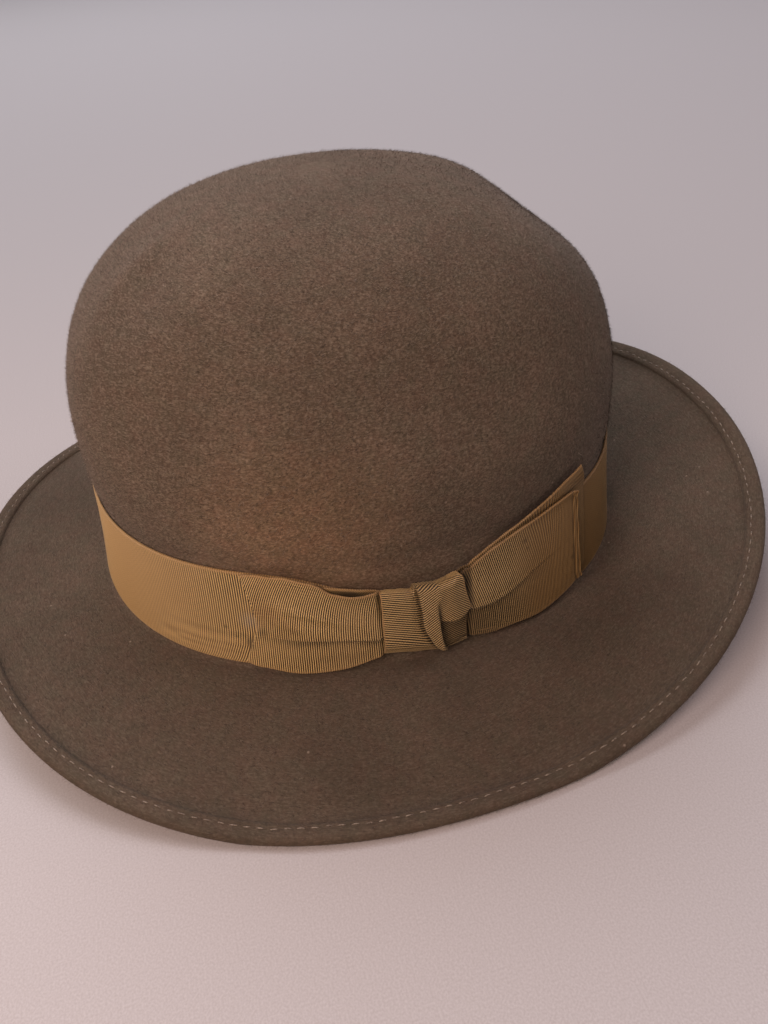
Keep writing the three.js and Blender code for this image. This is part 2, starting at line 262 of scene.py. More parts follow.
@dataclass(frozen=True)
class Dent:
    """A soft dent of the crown (depth over 0) or a swelling (depth under 0)."""

    azimuth: float
    height: float
    across: float
    tall: float
    depth: float


@dataclass(frozen=True)
class HatBlock:
    """The shape that the crown was blocked on, and what use has done to it since."""

    half_length: float = 102.5
    half_width: float = 88.0
    cinch: float = 1.3
    release: float = 9.0
    squareness: float = 2.19
    height: float = 134.7
    wall: float = 57.0
    taper: float = 0.05
    dome: float = 2.27
    centre_left: float = 0.5
    centre_front: float = 1.6
    slant_back: float = 2.8
    lean_front: float = 5.0
    lean_right: float = 1.8
    junction: float = 12.7
    front_rise: float = 3.7
    ribbon_top: float = 39.6
    dents: tuple = (
        Dent(1, 115, 26, 20, 2.6), Dent(136, 86, 32, 16, 3.2), Dent(76, 84, 46, 18, 1.8),
        Dent(149, 117, 13, 17, 1.8), Dent(162, 120, 6, 17, -0.9), Dent(179, 121, 14, 18, 1.2),
        Dent(340, 124, 20, 14, -0.8), Dent(16, 95, 24, 17, -0.9),
    )

    def oval(self, azimuth: Array) -> tuple[Array, Array]:
        """A rounded oval with half axes 1.

        Args:
            azimuth: places round the hat, in radians.

        Returns:
            X and Y of its points.
        """
        side, back = np.sin(azimuth), np.cos(azimuth)
        reach = (np.abs(side) ** self.squareness + np.abs(back) ** self.squareness) ** (-1 / self.squareness)
        return side * reach, back * reach

    def junction_height(self, azimuth: Array) -> Array:
        """Height at which the crown meets the brim's top face."""
        return self.junction - self.front_rise * np.cos(azimuth)

    def width_at(self, height: Array) -> Array:
        """How wide the crown is.

        Args:
            height: heights above the brim.

        Returns:
            Its shares of its full width there.
        """
        wall = 1 - self.taper * np.sin(np.minimum(height / self.wall, 1) * math.pi / 2)
        rise = np.clip((height - self.wall) / (self.height - self.wall), 0, 1)
        return wall * (1 - rise ** self.dome) ** (1 / self.dome)

    def block(self, azimuth: Array, height: Array) -> Array:
        """The crown's outside before it was dented.

        Args:
            azimuth: places round the hat, in radians.
            height: heights above the brim.

        Returns:
            The points.
        """
        azimuth, height = np.broadcast_arrays(np.asarray(azimuth, float), np.asarray(height, float))
        x, y = self.oval(azimuth)
        width = self.width_at(height)
        rise = height / self.height
        left = self.centre_left + self.half_width * width * x - self.lean_right * rise ** 2
        back = self.half_length * width * y - self.centre_front
        back = back + self.slant_back * rise - self.lean_front * rise ** 2
        up = height + mix(self.junction_height(azimuth), self.junction, rise)
        return np.stack([left, back, up], -1)

    def axes_at(self, azimuth: Array, height: Array) -> tuple[Array, ...]:
        """The block and its directions.

        Args:
            azimuth: places round the hat, in radians.
            height: heights above the brim.

        Returns:
            The points, the outward normals, and the tangents round the crown and up it.
        """
        height = np.asarray(height, float)
        below = np.maximum(height - 0.5, 0)
        above = np.minimum(height + 0.5, self.height - 0.01)
        around = unit(self.block(azimuth - 0.01, height) - self.block(azimuth + 0.01, height))
        up = unit(self.block(azimuth, above) - self.block(azimuth, below))
        return self.block(azimuth, height), unit(np.cross(around, up)), around, up

    def dent_depth(self, points: Array) -> Array:
        """How far the felt is pushed in.

        Args:
            points: points of the block.

        Returns:
            The depths, under 0 where it swells.
        """
        depth = np.zeros(points.shape[:-1])
        for dent in self.dents:
            centre, normal, around, up = self.axes_at(math.radians(dent.azimuth), dent.height)
            away = points - centre
            spread = (away @ around / dent.across) ** 2 + (away @ up / dent.tall) ** 2
            spread = spread + (away @ normal / max(dent.across, dent.tall)) ** 2
            depth = depth + dent.depth * np.exp(-spread)
        return depth

    def crown(self, azimuth: Array, height: Array, outwards: Array = 0.0) -> Array:
        """Points of the crown.

        Args:
            azimuth: places round the hat, in radians.
            height: heights above the brim.
            outwards: distances out from the felt's outer face.

        Returns:
            The points.
        """
        point, normal, _, _ = self.axes_at(azimuth, height)
        free = ease(height, self.ribbon_top, self.ribbon_top + self.release)
        inwards = self.dent_depth(point) + self.cinch * (1 - free)
        return point + normal * (outwards - inwards)[..., None]

    def top(self, outwards: float) -> Array:
        """The top of the dome, at a distance outwards from its outer face."""
        point = self.block(0.0, self.height)
        return point + np.array([0, 0, outwards - self.dent_depth(point)])

    def azimuth_at(self, along: Array) -> Array:
        """Places round the hat.

        Args:
            along: distances along the band from the middle of the wearer's left side.

        Returns:
            The azimuths, in radians.
        """
        turns = np.linspace(-1.5 * math.pi, 2.5 * math.pi, 16001)
        foot = self.block(turns, 0.0)[:, :2]
        gone = distance_along(foot)
        gone = gone - np.interp(math.pi / 2, turns, gone)
        return np.interp(-np.asarray(along, float), gone, turns)

    def round_foot(self) -> float:
        """Length once round the crown's foot."""
        foot = self.block(np.linspace(0, TURN, 4001), 0.0)[:, :2]
        return float(np.linalg.norm(np.diff(foot, axis=0), axis=1).sum())


@dataclass(frozen=True)
class Brim:
    """The brim, with its edge turned over onto its top face and sewn down."""

    block: HatBlock
    half_length: float = 154.0
    half_width: float = 143.5
    bend: float = 1.05
    edge_mean: float = 12.9
    back_lift: float = 8.6
    side_drop: float = 12.6
    skew: float = 1.2
    rest_azimuth: float = 98.0
    rest_spread: float = 26.0
    rest_reach: float = 12.0
    sag: float = 1.8
    felt: float = 1.8
    fold_radius: float = 1.95
    welt: float = 6.5
    flap: Line = (
        (6.62, 1.8), (6.52, 2.0), (6.32, 2.55), (5.95, 3.0), (5.4, 3.32), (4.85, 3.46), (4.5, 3.4),
        (4.15, 3.54), (3.5, 3.76), (2.6, 3.88),
    )
    sewn: int = 6  # the flap's point that the thread holds down

    def outline(self, azimuth: Array) -> Array:
        """X and Y of the outermost line of the brim."""
        x, y = self.block.oval(azimuth)
        return np.stack([x * self.half_width, y * self.half_length], -1)

    def reach(self, azimuth: Array) -> Array:
        """Distance across the brim."""
        foot = self.block.block(azimuth, 0.0)[..., :2]
        return np.linalg.norm(foot - self.outline(azimuth), axis=-1)

    def middle_height(self, azimuth: Array, inwards: Array) -> Array:
        """Height of the middle of the folded edge's roll, carried in across the brim.

        Args:
            azimuth: places round the hat, in radians.
            inwards: distances in from the brim's outermost line.

        Returns:
            The heights.
        """
        share = np.clip(1 - inwards / self.reach(azimuth), 0, 1) ** self.bend
        foot = self.block.junction_height(azimuth) + self.fold_radius - self.felt
        edge = self.edge_mean + self.back_lift * np.cos(azimuth) + self.side_drop * np.cos(2 * azimuth)
        edge = edge + self.skew * np.cos(3 * azimuth)
        from_rest = np.arccos(np.cos(azimuth)) - math.radians(self.rest_azimuth)
        sag = self.sag * bell(inwards / self.rest_reach) * bell(from_rest / math.radians(self.rest_spread))
        return np.maximum(self.fold_radius, mix(foot, edge, share) - sag)

    def point(self, azimuth: Array, inwards: Array, up: Array) -> Array:
        """Points of the brim.

        Args:
            azimuth: places round the hat, in radians.
            inwards: distances in from the brim's outermost line.
            up: heights above the brim's lower face.

        Returns:
            The points.
        """
        azimuth, inwards, up = np.broadcast_arrays(*(np.asarray(v, float) for v in (azimuth, inwards, up)))
        edge = self.outline(azimuth)
        inward = unit(self.block.block(azimuth, 0.0)[..., :2] - edge)
        drop = self.middle_height(azimuth, inwards + 0.5) - self.middle_height(azimuth, inwards - 0.5)
        slope = np.arctan(drop)
        lift = up - self.fold_radius
        plan = edge + inward * (inwards - lift * np.sin(slope))[..., None]
        height = self.middle_height(azimuth, inwards) + lift * np.cos(slope)
        return np.concatenate([plan, height[..., None]], -1)


@dataclass(frozen=True)
class FurFelt:
    """Fur felt, steamed on a block and brushed round the hat.

    It has no shine. The eye sees a heather of short light and dark fibres that lie round the hat, soft
    clouds where it has faded, a warm brighter patch on the crown's side that is partly sun fading and partly
    painted light, a brim painted darker as painted shade, and a paler bloom where the nap is seen edge on.
    """

    dark_fibre: str = "#453b2f"
    ground: str = "#665849"
    light_fibre: str = "#8c7e6b"
    olive: str = "#5f5946"
    russet: str = "#6e5948"
    # brightens a patch of the crown: partly sun fading, partly painted light
    fade_and_light_gain: tuple = (1.75, 1.5, 1.26, 1.0)
    speck: str = "#988976"
    bloom: str = "#f2e6da"
    # darkens the brim: painted shade
    brim_painted_shade: float = 0.74
    brim_calm: float = 0.45
    fibre_width: float = 0.4  # the real fur is about 0.02 mm thick, drawn as coarse as shows
    fibre_length: float = 1.2
    lap_radius: float = 95.0
    tuft_size: float = 6.0
    cloud_size: float = 34.0
    speck_spacing: float = 11.0
    fade_and_light_centre: tuple = (86.0, -38.0, 62.0)
    fade_and_light_reach: float = 52.0

    def build(self) -> Material:
        """Makes the material.

        Returns:
            The felt's material.
        """
        material, tree = new_material("brushed_fur_felt")
        place = add_node(tree, "TexCoord").outputs["Object"]
        fibres = self.fibres(tree, place)
        stops = ((0.36, self.dark_fibre), (0.64, self.light_fibre), (0.5, self.ground))
        heather = add_node(tree, "ValToRGB", {"Fac": fibres}, stops)
        brim = add_node(tree, "Attribute", attribute_name="brim").outputs["Fac"]
        calm = add_node(tree, "Math", {0: brim, 1: self.brim_calm}, operation="MULTIPLY")
        layers = {SHARE: calm, UNDER: heather, OVER: linear(self.ground)}
        calmed = add_node(tree, "Mix", layers, data_type="RGBA")
        size = {"Scale": 1 / (self.tuft_size * MM), "Detail": 3.0, "Roughness": 0.6}
        tufts = add_node(tree, "TexNoise", {"Vector": place, **size})
        tints = add_node(tree, "ValToRGB", {"Fac": tufts}, ((0.35, self.olive), (0.65, self.russet)))
        tinted = add_node(tree, "Mix", {SHARE: 0.32, UNDER: calmed, OVER: tints}, data_type="RGBA")
        # a warm brighter patch on the crown's side: partly sun fading, partly painted light
        centre = tuple(c * MM for c in self.fade_and_light_centre)
        away = add_node(tree, "VectorMath", {0: place, 1: centre}, operation="DISTANCE")
        reach = {"From Min": self.fade_and_light_reach * MM, "From Max": 0.0, "To Max": 1.0}
        near = add_node(tree, "MapRange", {"Value": away, **reach}, interpolation_type="SMOOTHSTEP")
        layers = {SHARE: near, UNDER: tinted, OVER: self.fade_and_light_gain}
        faded_and_lit = add_node(tree, "Mix", layers, data_type="RGBA", blend_type="MULTIPLY")
        size = {"Scale": 1 / (self.cloud_size * MM), "Detail": 2.0}
        clouds = add_node(tree, "TexNoise", {"Vector": place, **size})
        levels = {"From Min": 0.3, "From Max": 0.7, "To Min": 0.88, "To Max": 1.12}
        uneven = add_node(tree, "MapRange", {"Value": clouds, **levels})
        clouded = add_node(tree, "VectorMath", {0: faded_and_lit, "Scale": uneven}, operation="SCALE")
        # the brim is painted darker: painted shade
        brim_shading = add_node(tree, "MapRange", {"Value": brim, "To Min": 1.0, "To Max": self.brim_painted_shade})
        with_brim_shade = add_node(tree, "VectorMath", {0: clouded, "Scale": brim_shading}, operation="SCALE")
        cells = add_node(tree, "TexVoronoi", {"Vector": place, "Scale": 1 / (self.speck_spacing * MM)})
        levels = {"From Min": 0.045, "From Max": 0.025, "To Max": 0.6}
        dots = add_node(tree, "MapRange", {"Value": cells, **levels})
        layers = {SHARE: dots, UNDER: with_brim_shade, OVER: linear(self.speck)}
        surface = add_node(tree, "BsdfPrincipled", {
            "Base Color": add_node(tree, "Mix", layers, data_type="RGBA"),
            "Normal": add_node(tree, "Bump", {"Height": fibres, "Strength": 0.5, "Distance": 0.15 * MM}),
            "Roughness": 0.95, "IOR": 1.5, "Specular IOR Level": 0.1,
            "Sheen Weight": 0.11, "Sheen Roughness": 0.45, "Sheen Tint": linear(self.bloom),
        })
        add_node(tree, "OutputMaterial", {"Surface": surface})
        return material

    def fibres(self, tree: NodeTree, place: NodeSocket) -> Node:
        """Adds the pattern of the felt's fibres, longer round the hat than up and across it.

        Args:
            tree: the felt's node tree.
            place: the socket that gives a point's place.

        Returns:
            The node whose value rises from dark fibres to light ones.
        """
        level = add_node(tree, "VectorMath", {0: place, 1: (1, 1, 0)}, operation="MULTIPLY")
        radius = add_node(tree, "VectorMath", {0: level}, operation="LENGTH")
        turn = add_node(tree, "VectorMath", {0: level}, operation="NORMALIZE")
        squeeze = self.lap_radius * self.fibre_width / self.fibre_length * MM
        lap = add_node(tree, "VectorMath", {0: turn, "Scale": squeeze}, operation="SCALE")
        outwards = add_node(tree, "CombineXYZ", {"Z": radius})
        brushed = add_node(tree, "VectorMath", {0: lap, 1: outwards}, operation="ADD")
        up = add_node(tree, "SeparateXYZ", {"Vector": place}).outputs["Z"]
        size = {"Scale": 1 / (self.fibre_width * MM), "Detail": 2.0, "Roughness": 0.6}
        streaks = add_node(tree, "TexNoise", {"Vector": brushed, "W": up, **size}, noise_dimensions="4D")
        size = {"Scale": 1 / (self.fibre_length * 0.75 * MM), "Detail": 3.0, "Roughness": 0.7}
        tangle = add_node(tree, "TexNoise", {"Vector": place, **size})
        return add_node(tree, "Mix", {0: 0.45, 2: streaks, 3: tangle}, data_type="FLOAT")


@dataclass(frozen=True)
class LooseFur:
    """The loose fibres of the nap: fine matt hairs, each a little lighter or darker than the next."""

    name: str = "loose_fur_on_the_crown"
    dark: str = "#40362c"
    middle: str = "#6a5d4f"
    light: str = "#a09280"

    def build(self) -> Material:
        """Makes the material.

        Returns:
            The nap's material.
        """
        material, tree = new_material(self.name)
        hairs = add_node(tree, "NewGeometry").outputs["Random Per Island"]
        stops = ((0.0, self.dark), (1.0, self.light), (0.6, self.middle))
        colour = add_node(tree, "ValToRGB", {"Fac": hairs}, stops)
        surface = add_node(tree, "BsdfPrincipled", {
            "Base Color": colour, "Roughness": 0.9, "Specular IOR Level": 0.1, "Sheen Weight": 0.1,
        })
        add_node(tree, "OutputMaterial", {"Surface": surface})
        return material


@dataclass(frozen=True)
class Spot:
    """A small stain or a worn place on the ribbon."""

    along: float
    height: float
    out: float
    radius: float
    strength: float
    colour: str


@dataclass(frozen=True)
class Grosgrain:
    """Rayon grosgrain: thick weft cords under a fine warp, which gleams on each cord.

    The eye sees old-gold lines with dark grooves between them, paler bindings, and dark folds. The grooves'
    near-black colour is painted shade with some dirt, and the folds' darkness is painted shade.
    """

    groove: str = "#251909"
    cord: str = "#a57b3e"
    crest: str = "#ebc987"
    binding: str = "#b28c58"
    patchy: str = "#b99a6a"
    # the paler colour towards the front: painted light, with some real fading
    lit_and_faded: str = "#bf9f6a"
    smooth: str = "#a37e48"
    # the colour of the painted shade in creases, under pleats and ledges and between layers
    shade_colour: str = "#2d2415"
    pitch: float = CORD_PITCH
    warp_pitch: float = 0.9  # the real warp is about 0.15 mm apart, drawn as coarse as shows
    uneven_size: float = 1.6
    patch_size: float = 14.0
    # Each of the next three says where along Y it begins, where it ends and how strong it gets. The first
    # pales the ribbon towards the front, which is painted light with some real fading; the last darkens it
    # towards the back, which is painted shade.
    front_light_and_fade: tuple = (-48.0, -95.0, 0.8)
    smooths: tuple = (26.0, 44.0, 0.7)
    back_shading: tuple = (-50.0, 12.0, 0.7)
    spots: tuple = (
        Spot(-66.1, 16.1, 1.3, 1.3, 0.55, "#3a2c18"),
        Spot(-62.5, 12.6, 1.3, 0.9, 0.45, "#3a2c18"),
        Spot(-57.6, 10.9, 1.6, 3.2, 0.62, "#2b2620"),
        Spot(-52.6, 17.2, 3.6, 3.0, 0.4, "#2f281e"),
        Spot(-57.2, 20.0, 2.0, 5.5, 0.35, "#b5aa98"),
        Spot(-51.0, 25.0, 3.8, 8.0, 0.3, "#74451a"),
        Spot(-44.0, 20.5, 4.4, 7.0, 0.22, "#6c4218"),
        Spot(38.4, 35.6, 4.2, 1.6, 0.5, "#33281a"),
        Spot(39.3, 32.2, 4.2, 1.2, 0.4, "#33281a"),
        Spot(61.8, 16.3, 3.8, 2.0, 0.4, "#2c2418"),
    )

    def build(self, name: str, block: HatBlock) -> Material:
        """Makes the material.

        Args:
            name: the material's name.
            block: the block that the spots are placed on.

        Returns:
            The ribbon's material.
        """
        material, tree = new_material(name)
        place = add_node(tree, "TexCoord").outputs["Object"]
        beaded = self.weave(tree)
        size = {"Scale": 1 / (self.uneven_size * MM), "Detail": 2.0}
        uneven = add_node(tree, "TexNoise", {"Vector": place, **size})
        shifted = add_node(tree, "Math", {0: uneven, 1: 0.5, 2: beaded}, operation="MULTIPLY_ADD")
        level = add_node(tree, "MapRange", {"Value": shifted, "From Min": -0.7, "From Max": 1.3})
        # the grooves' near-black colour is painted shade between the cords, with some dirt
        stops = ((0.4, self.groove), (0.62, self.crest), (0.51, self.cord))
        thread = add_node(tree, "ValToRGB", {"Fac": level}, stops)
        selvedge = add_node(tree, "Attribute", attribute_name="selvedge").outputs["Fac"]
        plain = add_node(tree, "Math", {0: selvedge, 1: 0.7}, operation="MULTIPLY")
        size = {"Scale": 1 / (self.patch_size * MM), "Detail": 3.0}
        patches = add_node(tree, "TexNoise", {"Vector": place, **size})
        levels = {"From Min": 0.45, "From Max": 0.75, "To Max": 0.3}
        wear = add_node(tree, "MapRange", {"Value": patches, **levels})
        back = add_node(tree, "SeparateXYZ", {"Vector": place}).outputs["Y"]
        layers = [(plain, self.binding), (wear, self.patchy)]
        for (start, end, most), tone in ((self.front_light_and_fade, self.lit_and_faded), (self.smooths, self.smooth)):
            span = {"From Min": start * MM, "From Max": end * MM, "To Max": most}
            share = add_node(tree, "MapRange", {"Value": back, **span}, interpolation_type="SMOOTHSTEP")
            layers.append((share, tone))
        colour = thread
        for share, tone in layers:
            laid = {SHARE: share, UNDER: colour, OVER: linear(tone)}
            colour = add_node(tree, "Mix", laid, data_type="RGBA")
        # darkens the ribbon towards the back: painted shade
        start, end, darkest_back = self.back_shading
        span = {"From Min": start * MM, "From Max": end * MM, "To Min": 1.0, "To Max": darkest_back}
        back_shade_scale = add_node(tree, "MapRange", {"Value": back, **span}, interpolation_type="SMOOTHSTEP")
        colour = add_node(tree, "VectorMath", {0: colour, "Scale": back_shade_scale}, operation="SCALE")
        # lays painted shade where each piece's meshes mark it: in creases, under pleats and ledges and
        # between layers
        layers = [(add_node(tree, "Attribute", attribute_name="painted_shade").outputs["Fac"], self.shade_colour)]
        for spot in self.spots:
            azimuth = block.azimuth_at(np.array(spot.along))
            centre = block.crown(azimuth, np.array(spot.height), np.array(spot.out)) * MM
            away = add_node(tree, "VectorMath", {0: place, 1: tuple(centre)}, operation="DISTANCE")
            span = {"From Min": spot.radius * MM, "From Max": 0.0, "To Max": spot.strength}
            near = add_node(tree, "MapRange", {"Value": away, **span}, interpolation_type="SMOOTHSTEP")
            layers.append((near, spot.colour))
        for share, tone in layers:
            laid = {SHARE: share, UNDER: colour, OVER: linear(tone)}
            colour = add_node(tree, "Mix", laid, data_type="RGBA")
        surface = add_node(tree, "BsdfPrincipled", {
            "Base Color": colour,
            "Normal": add_node(tree, "Bump", {"Height": beaded, "Strength": 0.5, "Distance": 0.05 * MM}),
            "Roughness": 0.48, "IOR": 1.5, "Specular IOR Level": 0.45,
            "Sheen Weight": 0.12, "Sheen Roughness": 0.4,
        })
        add_node(tree, "OutputMaterial", {"Surface": surface})
        return material

    def weave(self, tree: NodeTree) -> Node:
        """Adds the pattern of the cords, each beaded by its warp half a step from the next.

        Args:
            tree: the ribbon's node tree.

        Returns:
            The node whose value rises from the grooves to the crests.
        """
        weave = add_node(tree, "UVMap", uv_map="weave")
        parts = add_node(tree, "SeparateXYZ", {"Vector": weave}).outputs
        cords = add_node(tree, "Math", {0: parts["X"], 1: 1 / (self.pitch * MM)}, operation="MULTIPLY")
        number = add_node(tree, "Math", {0: cords}, operation="ROUND")
        half = add_node(tree, "Math", {0: number, 1: 0.5}, operation="MULTIPLY")
        beads = {0: parts["Y"], 1: 1 / (self.warp_pitch * MM), 2: half}
        rows = add_node(tree, "Math", beads, operation="MULTIPLY_ADD")
        waves = []
        for steps in (cords, rows):
            turn = add_node(tree, "Math", {0: steps, 1: TURN}, operation="MULTIPLY")
            waves.append(add_node(tree, "Math", {0: turn}, operation="COSINE"))
        return add_node(tree, "Math", {0: waves[1], 1: 0.18, 2: waves[0]}, operation="MULTIPLY_ADD")


@dataclass(frozen=True)
class SilkThread:
    """Twisted silk sewing thread: a soft gleam, with darker lines between its plies."""

    light: str = "#9a8c78"
    dark: str = "#665848"
    ply_pitch: float = 0.5

    def build(self) -> Material:
        """Makes the material.

        Returns:
            The thread's material.
        """
        material, tree = new_material("twisted_silk_thread")
        place = add_node(tree, "TexCoord").outputs["Object"]
        size = {"Scale": 1 / (self.ply_pitch * MM), "Detail": 1.0}
        plies = add_node(tree, "TexNoise", {"Vector": place, **size})
        surface = add_node(tree, "BsdfPrincipled", {
            "Base Color": add_node(tree, "ValToRGB", {"Fac": plies}, ((0.35, self.dark), (0.6, self.light))),
            "Normal": add_node(tree, "Bump", {"Height": plies, "Strength": 0.4, "Distance": 0.05 * MM}),
            "Roughness": 0.6, "Sheen Weight": 0.1,
        })
        add_node(tree, "OutputMaterial", {"Surface": surface})
        return material


@dataclass(frozen=True)
class WashedCotton:
    """The floor: plain washed cotton sheeting, matt and off-white, its weave only just uneven."""

    pale: str = "#c6c1bc"
    dim: str = "#b9b3ad"
    thread: float = 0.6  # the real threads are about 0.3 mm apart, drawn as coarse as shows

    def build(self) -> Material:
        """Makes the material.

        Returns:
            The floor's material.
        """
        material, tree = new_material("washed_cotton")
        place = add_node(tree, "TexCoord").outputs["Object"]
        size = {"Scale": 1 / (self.thread * MM), "Detail": 2.0}
        threads = add_node(tree, "TexNoise", {"Vector": place, **size})
        surface = add_node(tree, "BsdfPrincipled", {
            "Base Color": add_node(tree, "ValToRGB", {"Fac": threads}, ((0.3, self.dim), (0.7, self.pale))),
            "Normal": add_node(tree, "Bump", {"Height": threads, "Strength": 0.15, "Distance": 0.1 * MM}),
            "Roughness": 0.9, "Specular IOR Level": 0.2,
        })
        add_node(tree, "OutputMaterial", {"Surface": surface})
        return material


@dataclass
class FeltBody:
    """The felt: crown, brim and turned-over edge in one piece, with the nap that stands on it."""

    block: HatBlock
    brim: Brim
    felt: Material
    crown_fur: Material
    brim_fur: Material
    around: int = 512
    dome_rings: int = 42
    wall_rings: int = 22
    inner_dome_rings: int = 26
    inner_wall_rings: int = 12
    brim_rings: int = 16
    fold_rings: int = 11
    under_rings: int = 14
    fillet: float = 1.0
    ripple: float = 0.3
    ripple_size: float = 30.0
    ripple_from: Span = (44.0, 62.0)
    ripple_centre: tuple = (0.0, 0.0, 40.0)
    crown_fibres: int = 110000
    brim_fibres: int = 80000
    fibre_length: Span = (0.9, 2.0)
    fibre_width: float = 0.1  # the real fur is about 0.02 mm thick, drawn as coarse as shows
    fibre_lift: Span = (8.0, 42.0)
    brushed_down: float = 20.0
    stray: float = 0.55
    twist: float = 0.25
    rooted: float = 0.05

    def heights(self, dome: int, wall: int, last: float) -> Array:
        """Heights of the crown's rings.

        Args:
            dome: rings on the dome.
            wall: rings on the wall.
            last: height of the last ring.

        Returns:
            The heights, from near its top down.
        """
        turn = np.linspace(0.03, 1.0, dome) * math.pi / 2
        rise = np.cos(turn) ** (2 / self.block.dome)
        upper = self.block.wall + (self.block.height - self.block.wall) * rise[:-1]
        return np.concatenate([upper, np.linspace(self.block.wall, last, wall)])

    def rippled(self, points: Array, strength: Array) -> Array:
        """Pushes points up and down a little, as hand-blocked felt is never quite even.

        Args:
            points: rings of points.
            strength: a share of the ripple for each ring.

        Returns:
            The moved points.
        """
        lift = np.array([noise.noise(Vector(p) / self.ripple_size) for p in points.reshape(-1, 3)])
        lift = lift.reshape(points.shape[:-1]) * self.ripple * strength[:, None]
        return points + unit(points - np.array(self.ripple_centre)) * lift[..., None]

    def rings(self) -> list[Array]:
        """Makes the rings of the felt's surface.

        Returns:
            Rings of points down the outside, over the brim and its fold, and up the inside.
        """
        turn = np.linspace(0, TURN, self.around, endpoint=False)
        block, brim = self.block, self.brim
        outer = self.heights(self.dome_rings, self.wall_rings, self.fillet)
        outside = block.crown(turn[None, :], outer[:, None])
        outside = self.rippled(outside, ease(outer, *self.ripple_from))
        reach = brim.reach(turn)
        shares = np.linspace(1, 0, self.brim_rings + 1)[:-1] ** 0.9
        edge = brim.welt + 0.4
        span = reach[None, :] - self.fillet - edge
        top = brim.point(turn, edge + span * shares[:, None], brim.felt)
        top = self.rippled(top, bell((shares - 0.55) / 0.3))
        section = list(brim.flap)
        for angle in np.radians(np.linspace(90, -90, self.fold_rings)):
            inwards = brim.fold_radius * (1 - math.cos(angle))
            section.append((inwards, brim.fold_radius * (1 + math.sin(angle))))
        section.append((4.0, 0.0))
        welt = [brim.point(turn, inwards, up) for inwards, up in section]
        below = np.linspace(0, 1, self.under_rings)
        under_span = reach[None, :] - brim.welt
        underside = brim.point(turn, brim.welt + under_span * below[:, None], 0.0)
        inner = self.heights(self.inner_dome_rings, self.inner_wall_rings, 0.0)[::-1]
        inside = block.crown(turn[None, :], inner[:, None], np.full((len(inner), 1), -brim.felt))
        inside = self.rippled(inside, ease(inner, *self.ripple_from))
        return [*outside, *top, *welt, *underside, *inside]

    def build(self) -> Object:
        """Makes the felt body.

        Returns:
            The felt body's object.
        """
        rings = np.array(self.rings())
        rows, columns = rings.shape[:2]
        tops = [self.block.top(0.0), self.block.top(-self.brim.felt)]
        points = np.concatenate([rings.reshape(-1, 3), tops])
        faces = ring_faces(rows, columns).tolist()
        first, last = rows * columns, (rows - 1) * columns
        for i in range(columns):
            beside = (i + 1) % columns
            faces.append((first, beside, i))
            faces.append((first + 1, last + i, last + beside))
        crown_rows = self.dome_rings - 1 + self.wall_rings
        on_brim = np.zeros((rows, columns))
        on_brim[crown_rows:rows - self.inner_dome_rings - self.inner_wall_rings + 1] = 1.0
        marks = {"brim": np.append(on_brim.ravel(), [0.0, 0.0])}
        body = new_piece("felt_shell", points, faces, self.felt, marks=marks)
        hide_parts("felt_body")
        return body

    def nap(self, body: Object) -> list[Object]:
        """Makes the short fibres that stand on the felt, brushed round the hat.

        Args:
            body: the felt body.

        Returns:
            The crown's nap and the brim's nap.
        """
        mesh = body.data
        quads = np.array([p.vertices[:] for p in mesh.polygons if len(p.vertices) == 4])
        corners = np.empty(len(mesh.vertices) * 3)
        mesh.vertices.foreach_get("co", corners)
        corners = corners.reshape(-1, 3)[quads] / MM
        diagonals = np.cross(corners[:, 2] - corners[:, 0], corners[:, 3] - corners[:, 1])
        area = np.linalg.norm(diagonals, axis=1) / 2
        row = np.arange(len(quads)) // self.around
        crown_rows = self.dome_rings - 1 + self.wall_rings
        centre = corners.mean(axis=1)
        above_ribbon = centre[:, 2] > self.block.junction + self.block.ribbon_top
        inner_from = row.max() - self.inner_dome_rings - self.inner_wall_rings
        groups = (
            ("crown_nap", self.crown_fur, (row < crown_rows) & above_ribbon, self.crown_fibres),
            ("brim_nap", self.brim_fur, (row >= crown_rows) & (row < inner_from), self.brim_fibres),
        )
        return [
            self.tuft(name, fur, corners[shown], area[shown], diagonals[shown], count)
            for name, fur, shown, count in groups
        ]

    def tuft(
        self, name: str, fur: Material, corners: Array, area: Array, facing: Array, count: int,
    ) -> Object:
        """Makes one piece of nap, a thin triangle for each fibre.

        Args:
            name: the piece's name.
            fur: its finish.
            corners: the four corners of each face that it stands on.
            area: the faces' areas.
            facing: vectors along the faces' normals.
            count: the number of fibres.

        Returns:
            The nap.
        """
        random = np.random.default_rng(len(name))  # so the two naps draw different numbers
        face = random.choice(len(area), count, p=area / area.sum())
        u, v = random.random((2, count, 1))
        quad = corners[face]
        root = mix(mix(quad[:, 0], quad[:, 1], u), mix(quad[:, 3], quad[:, 2], u), v)
        normal = unit(facing[face])
        brushed = unit(np.stack([root[:, 1], -root[:, 0], np.full(count, -self.brushed_down)], -1))
        lie = unit(brushed + random.normal(0, self.stray, (count, 3)))
        lie = unit(lie - normal * (lie * normal).sum(1, keepdims=True))
        lift = np.radians(random.uniform(*self.fibre_lift, (count, 1)))
        length = random.uniform(*self.fibre_length, (count, 1))
        tip = root + length * (lie * np.cos(lift) + normal * np.sin(lift))
        side = unit(np.cross(lie, normal) + normal * random.normal(0, self.twist, (count, 1)))
        wide = side * self.fibre_width / 2
        root = root - normal * self.rooted
        points = np.stack([root - wide, root + wide, tip], 1).reshape(-1, 3)
        points[:, 2] = np.maximum(points[:, 2], 0.0)
        faces = np.arange(count * 3).reshape(-1, 3).tolist()
        return new_piece(name, points, faces, fur, smooth=False)


